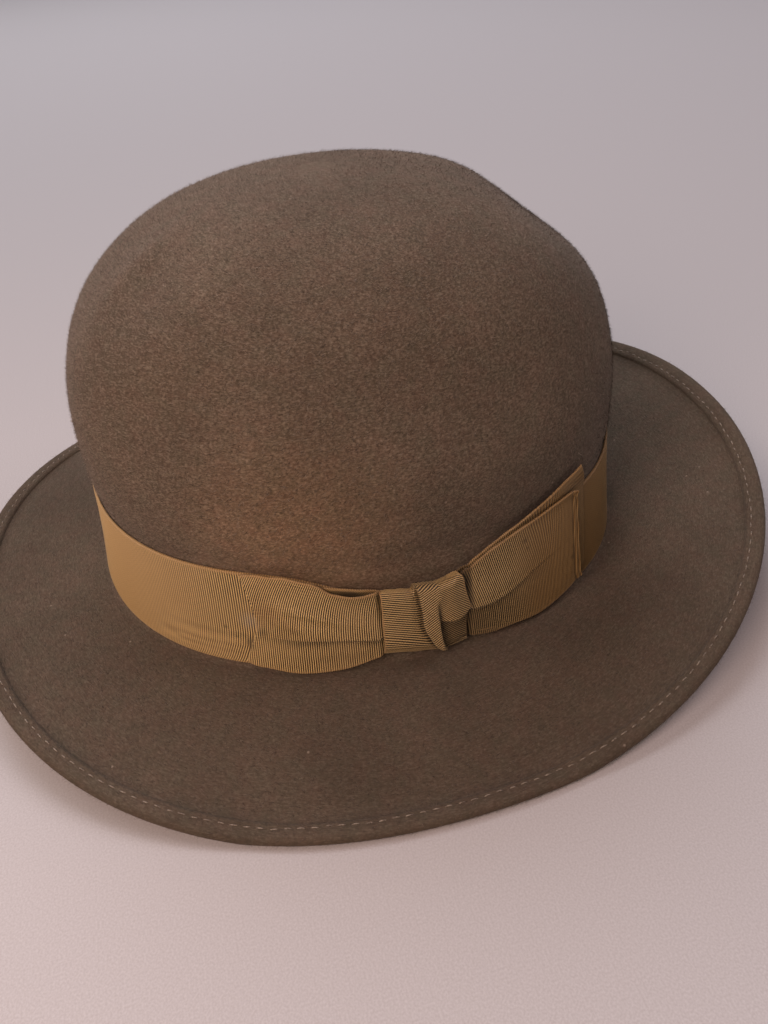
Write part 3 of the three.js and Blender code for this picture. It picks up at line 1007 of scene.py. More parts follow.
@dataclass(frozen=True)
class WeltStitches:
    """The row of running stitches that holds the turned-over edge down."""

    brim: Brim
    thread: Material
    inwards: float = 4.5
    pitch: float = 4.0
    shown: float = 2.2
    diameter: float = 0.42
    sunk: float = 0.04
    arch: float = 0.28
    dip: float = 0.12
    uneven: Span = (0.85, 1.12)
    drift: float = 0.12
    slant: float = 0.05
    tapers: float = 0.35
    sides: int = 8
    stations: int = 7
    seed: int = 7

    def build(self) -> Object:
        """Makes the stitches that show on the top of the fold and under the brim.

        Returns:
            The stitches' object.
        """
        turn = np.linspace(0, TURN, 3001)
        line = self.brim.point(turn, self.inwards, 0.0)
        gone = distance_along(line)
        count = round(gone[-1] / self.pitch)
        flap = self.brim.flap[self.brim.sewn][1] + self.sunk
        random = np.random.default_rng(self.seed)
        places = []
        for number in range(count):
            for up, sign, half in ((flap, 1.0, 0.0), (0.0, -1.0, 0.5)):
                start = (number + half) * gone[-1] / count
                length = self.shown * random.uniform(*self.uneven)
                along = start + np.linspace(0, length, self.stations)
                arch = np.sin(np.linspace(0, math.pi, self.stations))
                lift = up + sign * (arch * self.arch - self.dip)
                azimuth = np.interp(along % gone[-1], gone, turn)
                drift = self.inwards + random.normal(0, self.drift)
                drift = drift + random.normal(0, self.slant) * np.linspace(-1, 1, self.stations)
                places.append(self.brim.point(azimuth, drift, lift))
        paths = np.array(places)
        ahead = unit(np.gradient(paths, axis=1))
        up_axis = np.broadcast_to(np.array([0.0, 0.0, 1.0]), ahead.shape)
        across = unit(np.cross(ahead, up_axis))
        raised = np.cross(across, ahead)
        angle = np.linspace(0, TURN, self.sides, endpoint=False)
        taper = np.sin(np.linspace(self.tapers, math.pi - self.tapers, self.stations)) ** 0.5
        radius = (self.diameter / 2 * taper)[None, :, None, None]
        rim = across[:, :, None] * np.cos(angle)[:, None] + raised[:, :, None] * np.sin(angle)[:, None]
        points = (paths[:, :, None] + rim * radius).reshape(-1, 3)
        tube = ring_faces(self.stations, self.sides)
        each = self.stations * self.sides
        faces = (np.arange(len(paths))[:, None, None] * each + tube[None, :, ::-1]).reshape(-1, 4).tolist()
        for start in range(0, len(points), each):
            faces.append(tuple(range(start, start + self.sides)))
            faces.append(tuple(range(start + each - 1, start + each - self.sides - 1, -1)))
        return new_piece("welt_stitches", points, faces, self.thread)


@dataclass(frozen=True)
class RibbonCloth:
    """How the grosgrain is woven, and how its meshes are made."""

    material: Material
    pitch: float = CORD_PITCH
    relief: float = 0.24
    edge_radius: float = 0.35
    selvedge: float = 1.1
    binding_from: float = 0.3
    bead: float = 0.1
    per_cord: int = 6
    width: float = 38.1

    def stations(self, length: float) -> Array:
        """Distances along a ribbon of a length at which its mesh has rows, a whole number of cords apart."""
        return np.linspace(0, length, round(length / self.pitch) * self.per_cord + 1)

    def shares(self, columns: int) -> Array:
        """Places of a mesh's columns from a foot edge (0) to a top edge (1), closer at the edges."""
        rim = np.array([0.0, 0.004, 0.01, 0.03])
        return np.concatenate([rim, np.linspace(0.055, 0.945, columns - 8), 1 - rim[::-1]])

    def halves(self, lower: int, upper: int) -> tuple[Array, Array]:
        """Places of the columns of a pleated ribbon, closer at its edges.

        Args:
            lower: evenly spread columns below the pleat.
            upper: evenly spread columns above it.

        Returns:
            Places from the foot edge (0) to the pleat (1), and from there to the top edge (1).
        """
        rim = np.array([0.0, 0.01, 0.025, 0.06])
        low = np.concatenate([rim, np.linspace(0.12, 1.0, lower)])
        high = np.concatenate([np.linspace(0.0, 0.95, upper), 1 - rim[::-1] / 2])
        return low, high

    def piece(
        self, name: str, outer: Array, cords: Array, across: Array, thickness: float, closed: bool = False,
        from_edge: Array | None = None, painted_shade: Array | None = None,
    ) -> Object:
        """Makes a ribbon from a grid of points on its outer face.

        Args:
            name: the piece's name.
            outer: rows of points along the ribbon, each row from its foot to its top.
            cords: for each point, the distance along the ribbon that says where its cords are.
            across: for each point, its distance from the ribbon's foot edge.
            thickness: the ribbon's thickness.
            closed: whether the last row is the first row again.
            from_edge: for each point, its distance from the nearest selvedge, if that isn't a row's end.
            painted_shade: for each point, how much painted shade darkens the cloth there.

        Returns:
            The ribbon's object.
        """
        rows, columns = outer.shape[:2]
        down, over = np.gradient(outer, axis=0), np.gradient(outer, axis=1)
        if closed:
            down[0] = down[-1] = outer[1] - outer[-2]
        inward = unit(np.cross(down, over))
        wave = 0.5 + 0.5 * np.cos(TURN * cords / self.pitch)
        if from_edge is None:
            from_edge = np.minimum(across, across[:, -1:] - across)
            side = np.sign(across - across[:, -1:] / 2) * np.clip(1 - from_edge / self.selvedge, 0, 1)
            outer = outer + unit(over) * (side * self.bead * (2 * wave - 1))[..., None]
        rounding = np.clip(1 - from_edge / self.edge_radius, 0, 1)
        drop = self.edge_radius * (1 - np.sqrt(1 - rounding ** 2))
        depth = drop + self.relief * (1 - wave) * ease(from_edge, 0.0, self.selvedge)
        woven = outer + inward * depth[..., None]
        inner = (outer + inward * thickness)[:: self.per_cord]
        # the painted shade that the finish darkens the cloth by
        shade_amount = np.zeros((rows, columns)) if painted_shade is None else np.clip(painted_shade, 0, 1)
        grids = (cords, across, from_edge, shade_amount)
        u, v, rim, shade_amount = (np.concatenate([grid, grid[:: self.per_cord]]).ravel() for grid in grids)
        binding = 1 - ease(rim, self.binding_from, self.selvedge)
        points = np.concatenate([woven, inner]).reshape(-1, 3)
        faces = self.faces(rows, columns, closed)
        corners = np.concatenate([np.asarray(face) for face in faces])
        weave = np.stack([u[corners], v[corners]], -1)
        if closed:
            kept = np.arange(len(points))
            first_inner, last_inner = rows * columns, len(points) - columns
            kept[first_inner - columns:first_inner] = np.arange(columns)
            kept[last_inner:] = np.arange(first_inner, first_inner + columns)
            used, places = np.unique(kept, return_inverse=True)
            points, binding, shade_amount = points[used], binding[used], shade_amount[used]
            faces = [[int(places[c]) for c in face] for face in faces]
        marks = {"selvedge": binding, "painted_shade": shade_amount}
        return new_piece(name, points, faces, self.material, weave, marks=marks)

    def faces(self, rows: int, columns: int, closed: bool) -> list[list[int]]:
        """Faces of a ribbon: its outer face, its plainer inner face, its edges and its ends.

        Args:
            rows: rows of points on its outer face.
            columns: points in a row.
            closed: whether it has no ends.

        Returns:
            Their corner numbers, where the inner face's points follow the outer face's.
        """
        step, first = self.per_cord, rows * columns
        groups = (rows - 1) // step
        row = np.arange(rows - 1)[:, None] * columns + np.arange(columns - 1)
        outer = np.stack([row, row + 1, row + columns + 1, row + columns], -1).reshape(-1, 4)
        row = np.arange(groups)[:, None] * columns + np.arange(columns - 1) + first
        inner = np.stack([row, row + columns, row + columns + 1, row + 1], -1).reshape(-1, 4)
        faces = outer.tolist() + inner.tolist()
        last = columns - 1
        for group in range(groups):
            edge = [(group * step + k) * columns for k in range(step + 1)]
            inside, next_inside = first + group * columns, first + (group + 1) * columns
            faces.append([*edge, next_inside, inside])
            faces.append([*(c + last for c in reversed(edge)), inside + last, next_inside + last])
        if not closed:
            end, inner_end = (rows - 1) * columns, first + groups * columns
            for c in range(last):
                faces.append([c + 1, c, first + c, first + c + 1])
                faces.append([end + c, end + c + 1, inner_end + c + 1, inner_end + c])
        return faces


@dataclass(frozen=True)
class RibbonBand:
    """The band round the foot of the crown, which the knot gathers on the wearer's left."""

    block: HatBlock
    cloth: RibbonCloth
    foot: float = 1.5
    outward: float = 1.3
    thickness: float = 0.9
    pinch_top: float = 10.3
    pinch_foot: float = 2.9
    pinch_reach: float = 20.0
    knot_front: float = -13.8
    knot_back: float = 14.2
    tucked: float = 2.5
    tucked_reach: float = 7.0
    shown_pitch: float = 0.84  # coarser than the cloth's own cords, as coarse as shows from the front
    swirl: float = 0.02
    swirl_top: float = 13.0
    swirl_begins: Span = (20.0, 60.0)
    swirl_ends: Span = (70.0, 86.0)
    columns: int = 15

    def pinch(self, azimuth: Array) -> Array:
        """How strongly the knot gathers the band.

        Args:
            azimuth: places round the hat, in radians.

        Returns:
            Shares of the gather.
        """
        along = np.cos(azimuth) * self.block.half_length
        beyond = np.maximum(0, np.maximum(self.knot_front - along, along - self.knot_back))
        return np.where(np.sin(azimuth) > 0, bell(beyond / self.pinch_reach), 0.0)

    def build(self) -> Object:
        """Makes the band.

        Returns:
            The band's object.
        """
        length = self.block.round_foot()
        shown = round(length / self.shown_pitch)
        gone = np.linspace(0, length, shown * self.cloth.per_cord + 1)
        azimuth = self.block.azimuth_at(-gone)
        pinch = self.pinch(azimuth)
        length_way = self.block.half_length
        beside = np.where(np.sin(azimuth) > 0, np.cos(azimuth) * length_way, length_way)
        foot = self.foot + self.pinch_foot * pinch
        top = self.foot + self.cloth.width - self.pinch_top * pinch
        top = top - self.tucked * bell(beside / self.tucked_reach)
        height = foot[:, None] + (top - foot)[:, None] * self.cloth.shares(self.columns)
        outer = self.block.crown(azimuth[:, None], height, np.full_like(height, self.outward))
        across = height - foot[:, None]
        swirled = ease(-beside, *self.swirl_begins) * (1 - ease(-beside, *self.swirl_ends))
        swirl = self.swirl * np.maximum(0, self.swirl_top - across) ** 2 * swirled[:, None]
        phase = (gone[:, None] - swirl) * (shown * self.cloth.pitch / length)
        band = self.cloth.piece("grosgrain_band", outer, phase, across, self.thickness, closed=True)
        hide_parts("ribbon_band")
        return band


@dataclass(frozen=True)
class Pleat:
    """A pleat that runs out from the knot: the cloth above its line folds down over the cloth below it."""

    line: Line
    ridge: float
    recess: float
    spread: float
    reach: float
    flat: tuple = (-1.6, -0.9, -0.5, -0.2, 0.0, 0.15, 0.3, 0.45, 0.6, 0.8, 1.1, 1.6, 2.2)
    folded: Line = (
        (-1.7, -0.5), (-0.9, -0.8), (-0.1, -1.0), (0.5, -0.95), (0.75, -0.2), (0.6, 0.3), (0.2, 0.62),
        (-0.1, 0.84), (-0.15, 0.98), (0.1, 1.05), (0.55, 1.06), (1.2, 1.0), (2.0, 0.92),
    )
    spread_below: float = 2.5

    def section(self, along: Array, foot: Array, top: Array, shares: tuple) -> tuple[Array, ...]:
        """Heights of a layer's columns and how far out the pleat moves them.

        Args:
            along: places along the band.
            foot: the layer's foot edge there.
            top: the layer's top edge there.
            shares: places of the columns from the foot to the pleat and from the pleat to the top.

        Returns:
            Heights above the brim and distances outwards.
        """
        away = np.abs(along)
        strength = bell(np.maximum(0, away - self.line[0][0]) / self.reach)
        line = through(self.line, away)
        drop, out = (np.array(column) for column in zip(*self.folded))
        step = line + mix(np.array(self.flat), drop, strength)
        sink, rise = self.recess, self.ridge
        lift = strength * np.where(out < 0, out * sink, out * rise)
        lower = foot + (step[:, :1] - foot) * shares[0][:-1]
        upper = step[:, -1:] + (top - step[:, -1:]) * shares[1][1:]
        below = strength * sink * out[0] * bell((step[:, :1] - lower) / self.spread_below)
        above = strength * rise * out[-1] * bell((upper - step[:, -1:]) / self.spread)
        return np.concatenate([lower, step, upper], 1), np.concatenate([below, lift, above], 1)

    def heights_at(self, along: float, foot: float, top: float, shares: tuple) -> Array:
        """Heights of a layer's columns at one place along the band, by its edges' heights there."""
        return self.section(*(np.array([[value]]) for value in (along, foot, top)), shares)[0]


@dataclass(frozen=True)
class PaintedShade:
    """Painted shade along a fold, between two distances from it, which dies away along the band."""

    strength: float
    begins: Span
    ends: Span
    middle: float
    reach: float

    def shade_at(self, away: Array, along: Array) -> Array:
        """How much painted shade there is, by distances from the fold and places along the band."""
        across = self.strength * ease(away, *self.begins) * (1 - ease(away, *self.ends))
        return across * bell((along - self.middle) / self.reach)


@dataclass(frozen=True)
class FrontLoop:
    """The wing towards the front: a ribbon folded back on itself, its under layer behind its pleated one."""

    block: HatBlock
    cloth: RibbonCloth
    foot_line: Line = (
        (-59.3, 3.8), (-55.9, 2.2), (-51.8, 1.7), (-44.8, 0.9), (-37.8, 0.9), (-27.3, 1.8), (-20.2, 3.6),
        (-16.2, 4.8), (-13.7, 5.0), (-10.0, 5.6),
    )
    over_top: Line = (
        (-59.7, 39.2), (-54.9, 40.4), (-48.0, 40.1), (-43.0, 40.2), (-37.8, 38.7), (-33.0, 36.9),
        (-29.9, 34.2), (-24.9, 32.2), (-19.9, 31.4), (-14.6, 31.7), (-13.0, 30.5), (-10.0, 29.5),
    )
    under_top: Line = (
        (-58.0, 39.0), (-52.0, 38.2), (-48.0, 38.0), (-40.0, 37.2), (-33.2, 35.4), (-29.2, 34.8),
        (-24.5, 34.2), (-19.7, 33.0), (-14.3, 31.5), (-12.0, 30.0), (-10.0, 29.5),
    )
    fold_end: Line = (
        (4.4, -59.2), (9.9, -57.6), (13.5, -56.2), (18.0, -54.8), (24.0, -55.2), (29.4, -56.0),
        (34.0, -57.0), (39.2, -58.2),
    )
    pleat: Pleat = Pleat(((14.6, 13.5), (27.7, 14.9), (44.6, 15.0), (60.0, 14.6)), 1.8, 1.1, 6.0, 26.0)
    start: float = -10.0
    mean_end: float = -56.5
    over: float = 4.2
    over_end: float = 2.95
    under: float = 1.75
    under_end: float = 1.42
    flattens: Span = (38.0, 54.0)
    thickness: float = 0.7
    gape_at: float = -23.0
    gape_reach: float = 8.0
    puff: float = 0.6
    lip: float = 0.9
    lean: float = 0.012
    lean_from: float = 17.0
    end_reach: float = 20.0
    tucked: float = 1.6
    tucks: Span = (-15.5, -13.0)
    columns: tuple[int, int] = (8, 17)
    creases: tuple = (
        (-52.0, 29.5, -26.0, 21.5, 0.8), (-54.0, 23.0, -34.0, 18.0, 0.6), (-44.0, 8.0, -20.0, 8.5, 0.4),
    )
    # painted shade: a line under the pleat, a soft shadow below it, a patch near the knot and the slit
    # between the layers
    line_shade: PaintedShade = PaintedShade(0.8, (-0.5, -0.1), (0.1, 1.1), -14.6, 26.0)
    painted_shadow: PaintedShade = PaintedShade(0.5, (-0.3, 0.3), (1.0, 4.2), -36.0, 11.0)
    corner_shade: PaintedShade = PaintedShade(0.3, (0.0, 1.0), (2.0, 5.0), -17.0, 4.0)
    slit_shade: PaintedShade = PaintedShade(0.85, (0.45, 1.0), (4.0, 7.0), -23.0, 9.0)

    def crease_lift(self, along: Array, height: Array) -> Array:
        """How far soft creases lift the cloth, each of which dies away at its ends.

        Args:
            along: places along the band.
            height: heights above the brim.

        Returns:
            The distances.
        """
        lift = np.zeros(np.broadcast(along, height).shape)
        for first, low, last, high, rise in self.creases:
            share = (along - first) / (last - first)
            away = height - mix(low, high, share)
            section = bell(away / 1.3) - 0.8 * bell((away + 2.2) / 1.5)
            lift = lift + rise * bell((share - 0.5) / 0.45) * section
        return lift

    def painted_shade(self, along: Array, height: Array, top: Array, back: Array) -> Array:
        """Where the loop is painted darker, as painted shade.

        Args:
            along: places along the band.
            height: heights above the brim.
            top: the top edge's heights.
            back: 0 on the over layer and 1 on the under layer.

        Returns:
            How much painted shade there is, under the pleat and between the layers.
        """
        below = through(self.pleat.line, -along) - height
        line = self.line_shade.shade_at(below, np.minimum(along, self.line_shade.middle))
        patch = np.maximum(self.painted_shadow.shade_at(below, along), self.corner_shade.shade_at(below, along))
        return np.where(back > 0.5, self.slit_shade.shade_at(top - height, along), np.maximum(line, patch))

    def build(self) -> Object:
        """Makes the loop.

        Returns:
            The loop's object.
        """
        radius = (self.over_end - self.under_end) / 2
        flat = self.start - (self.mean_end + radius)
        bend = math.pi * radius
        gone = self.cloth.stations(2 * flat + bend)[:, None]
        halves = self.cloth.halves(*self.columns)
        turn = np.clip((gone - flat) / radius, 0, math.pi)
        from_start = np.minimum(gone, 2 * flat + bend - gone)
        plain = self.start - np.minimum(from_start, flat) - radius * np.sin(turn)
        back = turn / math.pi
        ends = (self.mean_end, self.foot_line[0][1], self.over_top[0][1])
        end = through(self.fold_end, self.pleat.heights_at(*ends, halves))
        moved = np.clip((from_start - flat + self.end_reach) / self.end_reach, 0, 1) ** 2
        moved = (end - self.mean_end) * moved
        foot = through(self.foot_line, plain + moved[:, :1])
        top_at = plain + moved[:, -1:]
        top = mix(through(self.over_top, top_at), through(self.under_top, top_at), back)
        height, lift = self.pleat.section(plain, foot, top, halves)
        along = plain + moved
        near_fold = ease(-along, *self.flattens)
        over = mix(self.over, self.over_end, near_fold) + self.crease_lift(along, height) * (1 - near_fold)
        under = mix(self.under, self.under_end, near_fold)
        gape = bell((along - self.gape_at) / self.gape_reach) * bell((top - height) / 2.4)
        over = over + self.puff * gape + lift * (1 - near_fold) * (1 - back)
        over = over - self.tucked * ease(along, *self.tucks) * (1 - back)
        under = under + self.lip * gape
        middle, half = (over + under) / 2, (over - under) / 2
        outer = self.block.crown(self.block.azimuth_at(along), height, middle + half * np.cos(turn))
        lean = self.lean * np.maximum(0, height - self.lean_from) ** 2
        cords = np.where(back < 0.5, self.start - along, self.start + along - 2 * end) + lean
        painted_shade, across = self.painted_shade(along, height, top, back), height - foot
        loop = self.cloth.piece("grosgrain_front_loop", outer, cords, across, self.thickness, painted_shade=painted_shade)
        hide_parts("bow_front_loop")
        return loop


@dataclass(frozen=True)
class WingLayer:
    """One layer of the wing towards the back: its edges, its end and how far it stands from the felt."""

    name: str
    node: str
    foot_line: Line
    top_line: Line
    end_line: Line
    out: float
    out_end: float
    pleat: Pleat
    foot_tuck: float
    # how dark the painted shade below the pleat is
    painted_shade: float
    hem: float


class Layer(Enum):
    """The two layers of the wing towards the back."""

    UNDER = WingLayer(
        name="grosgrain_wing_under",
        node="bow_back_wing_under",
        foot_line=(
            (10.0, 8.0), (14.5, 7.0), (18.0, 5.2), (23.0, 3.8), (37.0, 3.2), (53.5, 4.0), (67.0, 6.4),
            (72.0, 8.1),
        ),
        top_line=(
            (10.0, 29.0), (14.0, 31.6), (21.5, 36.0), (28.6, 39.3), (36.0, 42.0), (43.3, 45.0),
            (51.4, 47.9), (57.5, 49.8), (66.6, 51.4),
        ),
        end_line=((8.1, 71.4), (25.6, 72.0), (43.6, 70.3), (51.2, 67.2)),
        out=2.75,
        out_end=2.4,
        pleat=Pleat(((14.0, 16.0), (60.0, 20.0)), 0.0, 0.0, 6.0, 20.0),
        foot_tuck=0.0,
        painted_shade=0.0,
        hem=0.0,
    )
    OVER = WingLayer(
        name="grosgrain_wing_over",
        node="bow_back_wing_over",
        foot_line=(
            (10.0, 4.4), (14.5, 3.9), (17.4, 3.4), (24.5, 1.9), (33.3, 2.2), (44.2, 1.8), (56.8, 3.3),
            (63.0, 4.6), (67.8, 6.2),
        ),
        top_line=(
            (10.0, 28.5), (14.0, 30.6), (16.0, 32.4), (22.9, 36.5), (30.1, 39.2), (38.1, 41.3),
            (44.3, 42.4), (50.0, 43.4), (58.0, 44.1), (63.0, 44.2),
        ),
        end_line=((6.0, 66.4), (9.7, 65.6), (21.8, 65.0), (30.7, 64.4), (39.4, 63.8), (44.2, 63.0)),
        out=4.2,
        out_end=3.7,
        pleat=Pleat(
            ((17.1, 17.1), (24.0, 17.0), (28.9, 17.6), (33.9, 19.1), (41.8, 22.0), (60.0, 25.0)),
            1.7, 0.9, 7.0, 20.0,
        ),
        foot_tuck=1.5,
        painted_shade=0.42,
        hem=0.55,
    )


@dataclass(frozen=True)
class BackWing:
    """The wing towards the back: two flat layers, each with a straight end."""

    block: HatBlock
    cloth: RibbonCloth
    start: float = 10.0
    mean_end: float = 66.0
    flattens: Span = (34.0, 62.0)
    tucked_top: float = 1.2
    tucked_foot: float = 1.6
    tucks: Span = (15.2, 17.4)
    skew_above: float = 0.26
    skew_below: float = 0.1
    skew_from: float = 17.0
    skew_fades: Span = (36.0, 58.0)
    end_reach: float = 26.0
    columns: tuple[int, int] = (10, 17)
    foot_from: float = 16.0
    foot_fade: float = 12.0
    foot_begins: float = 22.0
    foot_reach: float = 14.0
    hem_line: Span = (1.7, 2.5)
    hem_fold: Span = (0.5, 1.0)
    cut_edge: Span = (0.0, 0.35)
    cut_drop: float = 0.4
    # painted shade below the pleat and beside the knot
    shade_from: float = 18.0
    shade_reach: float = 21.0
    pleat_shade: float = 0.75
    knot_shade: float = 0.7
    thickness: float = 0.7

    def painted_shade(self, layer: WingLayer, along: Array, gone: Array, below: Array) -> Array:
        """Where a layer is painted darker, as painted shade.

        Args:
            layer: the layer's edges, end and place.
            along: places along the band.
            gone: distances from the layer's end.
            below: distances below its pleat's line.

        Returns:
            How much painted shade there is, below the pleat and in it, beside the knot and along the hem.
        """
        near = bell(np.maximum(0, along - self.shade_from) / self.shade_reach)
        painted_shade = layer.painted_shade * near * ease(below, -0.5, 0.5)
        painted_shade = np.maximum(painted_shade, self.pleat_shade * np.sign(layer.painted_shade) * near * bell((below - 0.2) / 0.6))
        painted_shade = np.maximum(painted_shade, self.knot_shade * (1 - ease(along, 16.6, 18.0)))
        # dark lines of painted shade along the hem's folds
        return np.maximum(painted_shade, layer.hem * (bell((gone - 2.7) / 0.35) + 0.7 * bell((gone - 1.1) / 0.25)))

    def build(self, layer: WingLayer) -> Object:
        """Makes one layer of the wing.

        Args:
            layer: the layer's edges, end and place.

        Returns:
            The layer's object.
        """
        gone = self.cloth.stations(self.mean_end - self.start)[:, None]
        plain = self.mean_end - gone
        halves = self.cloth.halves(*self.columns)
        ends = (self.mean_end, layer.foot_line[-1][1], layer.top_line[-1][1])
        end = through(layer.end_line, layer.pleat.heights_at(*ends, halves))
        moved = (end - self.mean_end) * np.clip(1 - gone / self.end_reach, 0, 1) ** 2
        along = plain + moved
        foot, top = through(layer.foot_line, along[:, :1]), through(layer.top_line, along[:, -1:])
        height, lift = layer.pleat.section(plain, foot, top, halves)
        out = mix(layer.out, layer.out_end, ease(along, *self.flattens)) + lift
        near_knot = 1 - ease(along, *self.tucks)
        out = out - mix(self.tucked_top, self.tucked_foot, ease(-height, -17.5, -15.5)) * near_knot
        to_foot = np.clip((self.foot_from - height) / self.foot_fade, 0, 1)
        past = np.maximum(0, along - self.foot_begins)
        out = out - layer.foot_tuck * to_foot * bell(past / self.foot_reach)
        out = out + layer.hem * (1 - ease(gone, *self.hem_line))
        out = out + 0.8 * layer.hem * (1 - ease(gone, *self.hem_fold))
        out = out - self.cut_drop * (1 - ease(gone, *self.cut_edge))
        outer = self.block.crown(self.block.azimuth_at(along), height, out)
        above = height - self.skew_from
        skew = self.skew_above * np.maximum(0, above) + self.skew_below * np.minimum(0, above)
        cords = along + skew * (1 - ease(along, *self.skew_fades))
        below = through(layer.pleat.line, plain) - height
        painted_shade = self.painted_shade(layer, along, gone, below)
        wing = self.cloth.piece(layer.name, outer, cords, height - foot, self.thickness, painted_shade=painted_shade)
        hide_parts(layer.node)
        return wing


@dataclass(frozen=True)
class KnotFace:
    """Places on the knot, and the lines of its fold, its valley and its back edge at their heights."""

    along: Array
    height: Array
    arc: Array
    fold: Array
    valley: Array
    back: Array
    under_fold: Array


@dataclass(frozen=True)
class Knot:
    """The knot: a ribbon wrapped round the middle of the bow, with a slanting fold across its face."""

    block: HatBlock
    cloth: RibbonCloth
    front: float = -13.8
    face_out: float = 5.7
    wrap_out: float = 1.2
    roll: float = 1.7
    top_line: Line = (
        (-14.3, 31.4), (-10.0, 30.9), (-5.9, 30.3), (-3.3, 29.8), (-2.7, 31.2), (1.5, 31.1), (5.3, 30.6),
        (8.7, 31.2), (12.2, 32.2), (16.0, 32.1),
    )
    foot_line: Line = (
        (-13.8, 4.5), (-8.4, 4.0), (-3.0, 3.0), (1.6, 2.7), (6.8, 2.0), (10.5, 2.4), (15.7, 3.5),
    )
    curl_line: Line = (
        (-13.8, 15.1), (-10.1, 13.5), (-5.3, 11.4), (-0.2, 9.1), (4.4, 6.4), (8.0, 5.5), (15.7, 6.5),
    )
    fold_line: Line = (
        (2.0, 6.6), (6.0, 5.0), (9.6, 2.2), (14.6, -0.3), (22.0, -0.9), (29.7, -1.8), (33.0, -2.4),
    )
    valley_line: Line = ((2.0, 8.2), (8.5, 6.3), (14.0, 5.3), (28.0, 4.7), (31.0, 6.3), (33.0, 10.0))
    back_line: Line = (
        (2.0, 15.0), (5.0, 15.2), (12.7, 15.2), (18.2, 16.6), (20.9, 16.0), (25.5, 14.8), (31.1, 14.0),
        (33.0, 13.4),
    )
    ledge_line: Line = ((5.3, 15.2), (7.3, 15.0), (9.7, 14.9), (11.8, 15.2), (14.2, 16.0), (16.6, 18.3))
    tucked: float = 2.4
    thickness: float = 0.7
    panel_rise: float = 0.35
    panel_fan: float = 0.05
    fold_rise: float = 0.55
    side_fall: float = 1.0
    shown: float = 0.8  # spreads the cloth's own cords, as coarse as shows where they lie level
    shown_side: float = 0.75
    turn_at: float = 5.3
    cut_width: float = 32.0
    upper_part: Span = (17.0, 27.0)
    panel_sunk: float = 0.7
    fold_stands: float = 1.4
    side_stands: Span = (-0.6, 0.98)
    side_swell: float = 1.2
    # painted shade beside the fold and low down on the panel, in the valley and below the ledge
    panel_shade: Span = (0.5, 0.25)
    valley_shade: float = 0.55
    ledge_shade: float = 0.5
    edge_gain: float = 1.6
    face_begins: Span = (3.0, 5.4)

    def wrap(self, along: Array, station: Array) -> tuple[Array, ...]:
        """Section of the knot.

        Args:
            along: places along the band.
            station: 0 at the foot, 1 and 2 at the face's two ends, 3 on top and 4 at the tucked edge.

        Returns:
            Height, distance out from the felt and distance round the section.
        """
        top, foot = through(self.top_line, along), through(self.foot_line, along)
        curl = through(self.curl_line, along)
        under = np.clip(station, 0, 1) * math.pi / 2
        face = np.clip(station - 1, 0, 1)
        over = np.clip(station - 2, 0, 1) * math.pi / 2
        tuck = np.clip(station - 3, 0, 1)
        height = curl - (curl - foot) * np.cos(under) + (top - self.roll - curl) * face
        height = height + self.roll * np.sin(over) - tuck
        reach = self.face_out - self.wrap_out
        out = self.wrap_out + reach * np.sin(under) - self.roll * (1 - np.cos(over)) - 3.0 * tuck
        quarter = math.pi / 2 * np.sqrt(((curl - foot) ** 2 + reach ** 2) / 2)
        arc = curl - quarter * (1 - np.clip(station, 0, 1)) + (top - self.roll - curl) * face
        return height, out, arc + 1.25 * self.roll * over + 3.2 * tuck

    def build(self) -> Object:
        """Makes the knot.

        Returns:
            The knot's object.
        """
        spans = ((0.0, 1.0, 66), (1.0, 2.0, 166), (2.0, 3.0, 20), (3.0, 4.0, 16))
        steps = [np.linspace(low, high, count, endpoint=False) for low, high, count in spans]
        station = np.append(np.concatenate(steps), spans[-1][1])
        _, _, middle = self.wrap(np.zeros(1), station)
        lines = (self.fold_line, self.valley_line, self.back_line)
        fold, valley, back = (through(line, middle) for line in lines)
        parts = (
            (back, valley + 0.5, 44),
            (valley + 0.35, valley - 0.35, 8),
            (valley - 0.5, fold + 0.3, 32),
            (fold + 0.12, fold, 3),
            (fold + 0.1, fold + 0.5, 3),
            (fold + 0.3, fold - 0.4, 4),
            (fold - 0.6, np.full_like(fold, self.front), 45),
        )
        along = np.concatenate([np.linspace(first, last, count) for first, last, count in parts])
        under_fold = np.arange(len(along))[:, None] > sum(count for _, _, count in parts[:4])
        height, out, arc = self.wrap(along, station)
        at = KnotFace(along, height, arc, fold, valley, back, under_fold)
        out = out + ease(out, *self.face_begins) * self.relief(at)
        outer = self.block.crown(self.block.azimuth_at(along), height, out)
        across = along - self.front
        from_edge = self.edge_gain * np.minimum(across, back - along)
        knot = self.cloth.piece(
            "grosgrain_knot", outer, self.cords(at), across, self.thickness, False, from_edge, self.painted_shade(at),
        )
        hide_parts("bow_knot")
        return knot

    def relief(self, at: KnotFace) -> Array:
        """How far the knot's face stands out beyond its plain wrap.

        Args:
            at: places on the knot.

        Returns:
            The distances.
        """
        upper = ease(at.height, *self.upper_part)
        past_fold, past_valley = at.along - at.fold, at.along - at.valley
        panel = -self.panel_sunk * bell(np.maximum(0, -past_fold) / 1.3)
        fall = 0.25 * np.clip(past_fold / (at.valley - at.fold), 0, 1)
        face = self.fold_stands * (1 - fall) - 0.5 * (1 - ease(past_fold, 0, 0.4))
        past = past_valley / np.maximum(at.back - at.valley, 1)
        ledge = through(self.ledge_line, at.along)
        high = mix(*self.side_stands, upper) + self.side_swell * (1 - upper) * ease(past, 0.0, 0.45)
        high = high - ease(past, 0.5, 1.05)
        low = -self.tucked + 0.5 * bell((past - 0.5) / 0.3)
        right = mix(low, high, ease(at.height, ledge - 0.3, ledge + 0.3))
        soft = mix(0.35, 0.8, upper)
        return np.where(at.under_fold, panel, mix(face, right, ease(past_valley, -soft, soft)))

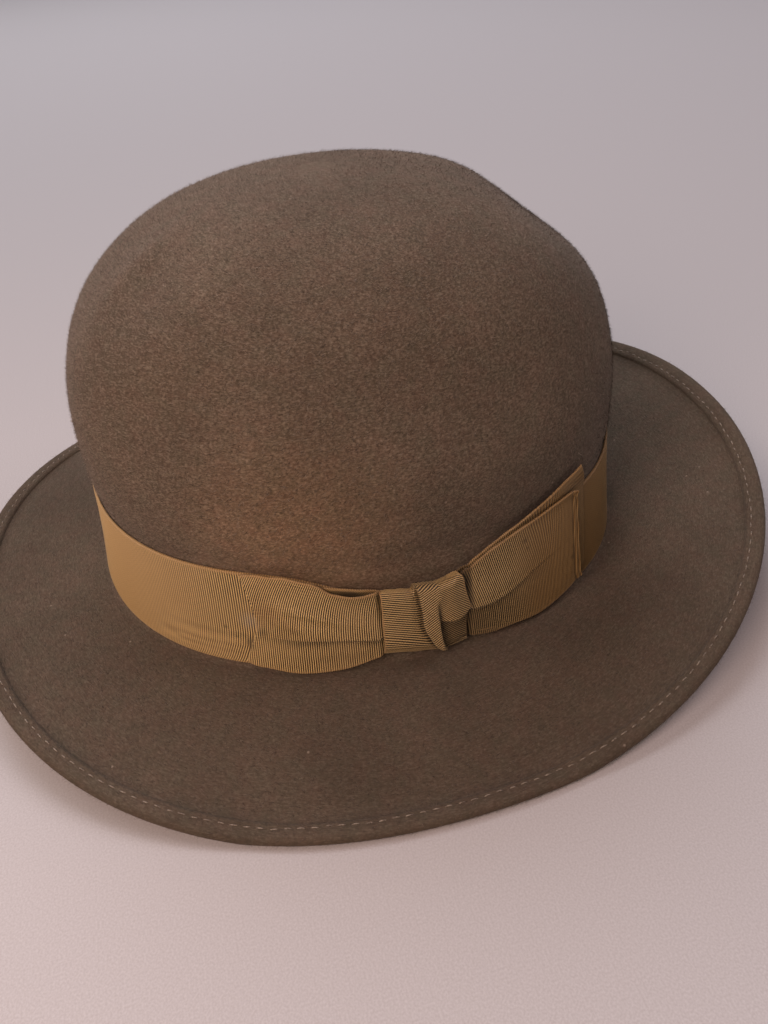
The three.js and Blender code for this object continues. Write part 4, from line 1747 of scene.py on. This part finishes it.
    def painted_shade(self, at: KnotFace) -> Array:
        """Where the knot is painted darker, as painted shade.

        Args:
            at: places on the knot.

        Returns:
            How much painted shade there is, beside the fold, in the valley and below the ledge.
        """
        past_valley = at.along - at.valley
        beside, low_down = self.panel_shade
        panel = beside * bell(np.maximum(0, at.fold - at.along) / 0.9)
        panel = panel + low_down * ease(-at.height, -13.0, -5.0)
        groove = self.valley_shade * bell((past_valley - 0.3) / 0.8) * (1 - ease(at.height, 20.0, 27.0))
        ledge = through(self.ledge_line, at.along)
        below = self.ledge_shade * (1 - ease(at.height, ledge - 0.6, ledge + 0.1))
        below = below * ease(past_valley, -0.2, 0.4)
        return np.where(at.under_fold, panel, np.maximum(groove, below))

    def cords(self, at: KnotFace) -> Array:
        """Where the cords run on the knot.

        Args:
            at: places on the knot.

        Returns:
            Distances across the cords: nearly level on the panel, rising on the fold and falling past it.
        """
        fan = self.panel_fan * ease(-at.arc, -14, -5)
        panel = at.arc + self.panel_rise * at.along + fan * (at.along - self.front)
        rise = np.where(at.along < self.turn_at, -self.fold_rise, self.side_fall)
        face = at.arc + rise * (at.along - self.turn_at)
        return np.where(at.under_fold, self.shown * panel, self.shown_side * face)


@dataclass(frozen=True)
class Lamp:
    """A soft round lamp that faces the hat, placed by its azimuth, elevation and distance."""

    name: str
    azimuth: float
    elevation: float
    distance: float
    size: float
    power: float
    colour: tuple
    aim: tuple = (0.0, 0.0, 0.05)

    def build(self) -> None:
        """Makes the lamp."""
        data = bpy.data.lights.new(self.name, "AREA")
        data.shape = "DISK"
        data.size = self.size
        data.energy = self.power
        data.color = self.colour
        turn, rise = math.radians(self.azimuth), math.radians(self.elevation)
        plan = math.cos(rise) * self.distance
        place = Vector((plan * math.sin(turn), plan * math.cos(turn), math.sin(rise) * self.distance))
        lamp = into_scene(self.name, data)
        lamp.rotation_euler = (Vector(self.aim) - place).to_track_quat("-Z", "Y").to_euler()
        lamp.location = place


@dataclass(frozen=True)
class Studio:
    """A plain pale floor under plain soft light."""

    floor_size: float = 9000.0
    surroundings: str = "#c8c0ba"
    strength: float = 0.04
    lamps: tuple = (
        Lamp("key", 135, 42, 0.8, 0.5, 3.8, (1.0, 0.745, 0.683)),
        Lamp("window", 225, 50, 3.2, 2.0, 22.9, (1.0, 0.93, 0.99)),
        Lamp("sky", 270, 50, 3.2, 2.0, 52.0, (0.84, 0.86, 1.0)),
        Lamp("back", 0, 50, 3.2, 2.0, 25.0, (1.0, 0.86, 0.96)),
    )

    def build(self) -> None:
        """Makes the floor, the lights and the grey surroundings."""
        half = self.floor_size / 2 * MM
        mesh = bpy.data.meshes.new("floor")
        corners = [(-half, -half, 0), (half, -half, 0), (half, half, 0), (-half, half, 0)]
        mesh.from_pydata(corners, [], [(0, 1, 2, 3)])
        mesh.materials.append(WashedCotton().build())
        floor = into_scene("floor", mesh)
        for lamp in self.lamps:
            lamp.build()
        world = bpy.data.worlds.new("surroundings")
        bpy.context.scene.world = world
        world.use_nodes = True
        background = world.node_tree.nodes["Background"]
        background.inputs["Color"].default_value = linear(self.surroundings)
        background.inputs["Strength"].default_value = self.strength
        bpy.context.scene.view_settings.view_transform = "Standard"


def report(piece: Object) -> None:
    """Logs a piece's name and size."""
    LOG.info("%s: %d faces", piece.name, len(piece.data.polygons))


def main() -> None:
    """Builds the hat and its surroundings in order."""
    logging.basicConfig(level=logging.INFO, format="%(message)s")
    Viewpoint().build()
    block = HatBlock()
    brim = Brim(block)
    # the brim's nap is darker than the crown's: painted shade, as on the brim's felt
    brim_fur = LooseFur("loose_fur_on_the_brim", "#423930", "#5a4f45", "#7b6e62")
    body = FeltBody(block, brim, FurFelt().build(), LooseFur().build(), brim_fur.build())
    shell = body.build()
    report(shell)
    for nap in body.nap(shell):
        report(nap)
    report(WeltStitches(brim, SilkThread().build()).build())
    cloth = RibbonCloth(Grosgrain().build("woven_grosgrain", block))
    report(RibbonBand(block, cloth).build())
    report(FrontLoop(block, cloth).build())
    wing = BackWing(block, cloth)
    for layer in Layer:
        report(wing.build(layer.value))
    report(Knot(block, cloth).build())
    Studio().build()


if __name__ == "__main__":
    main()
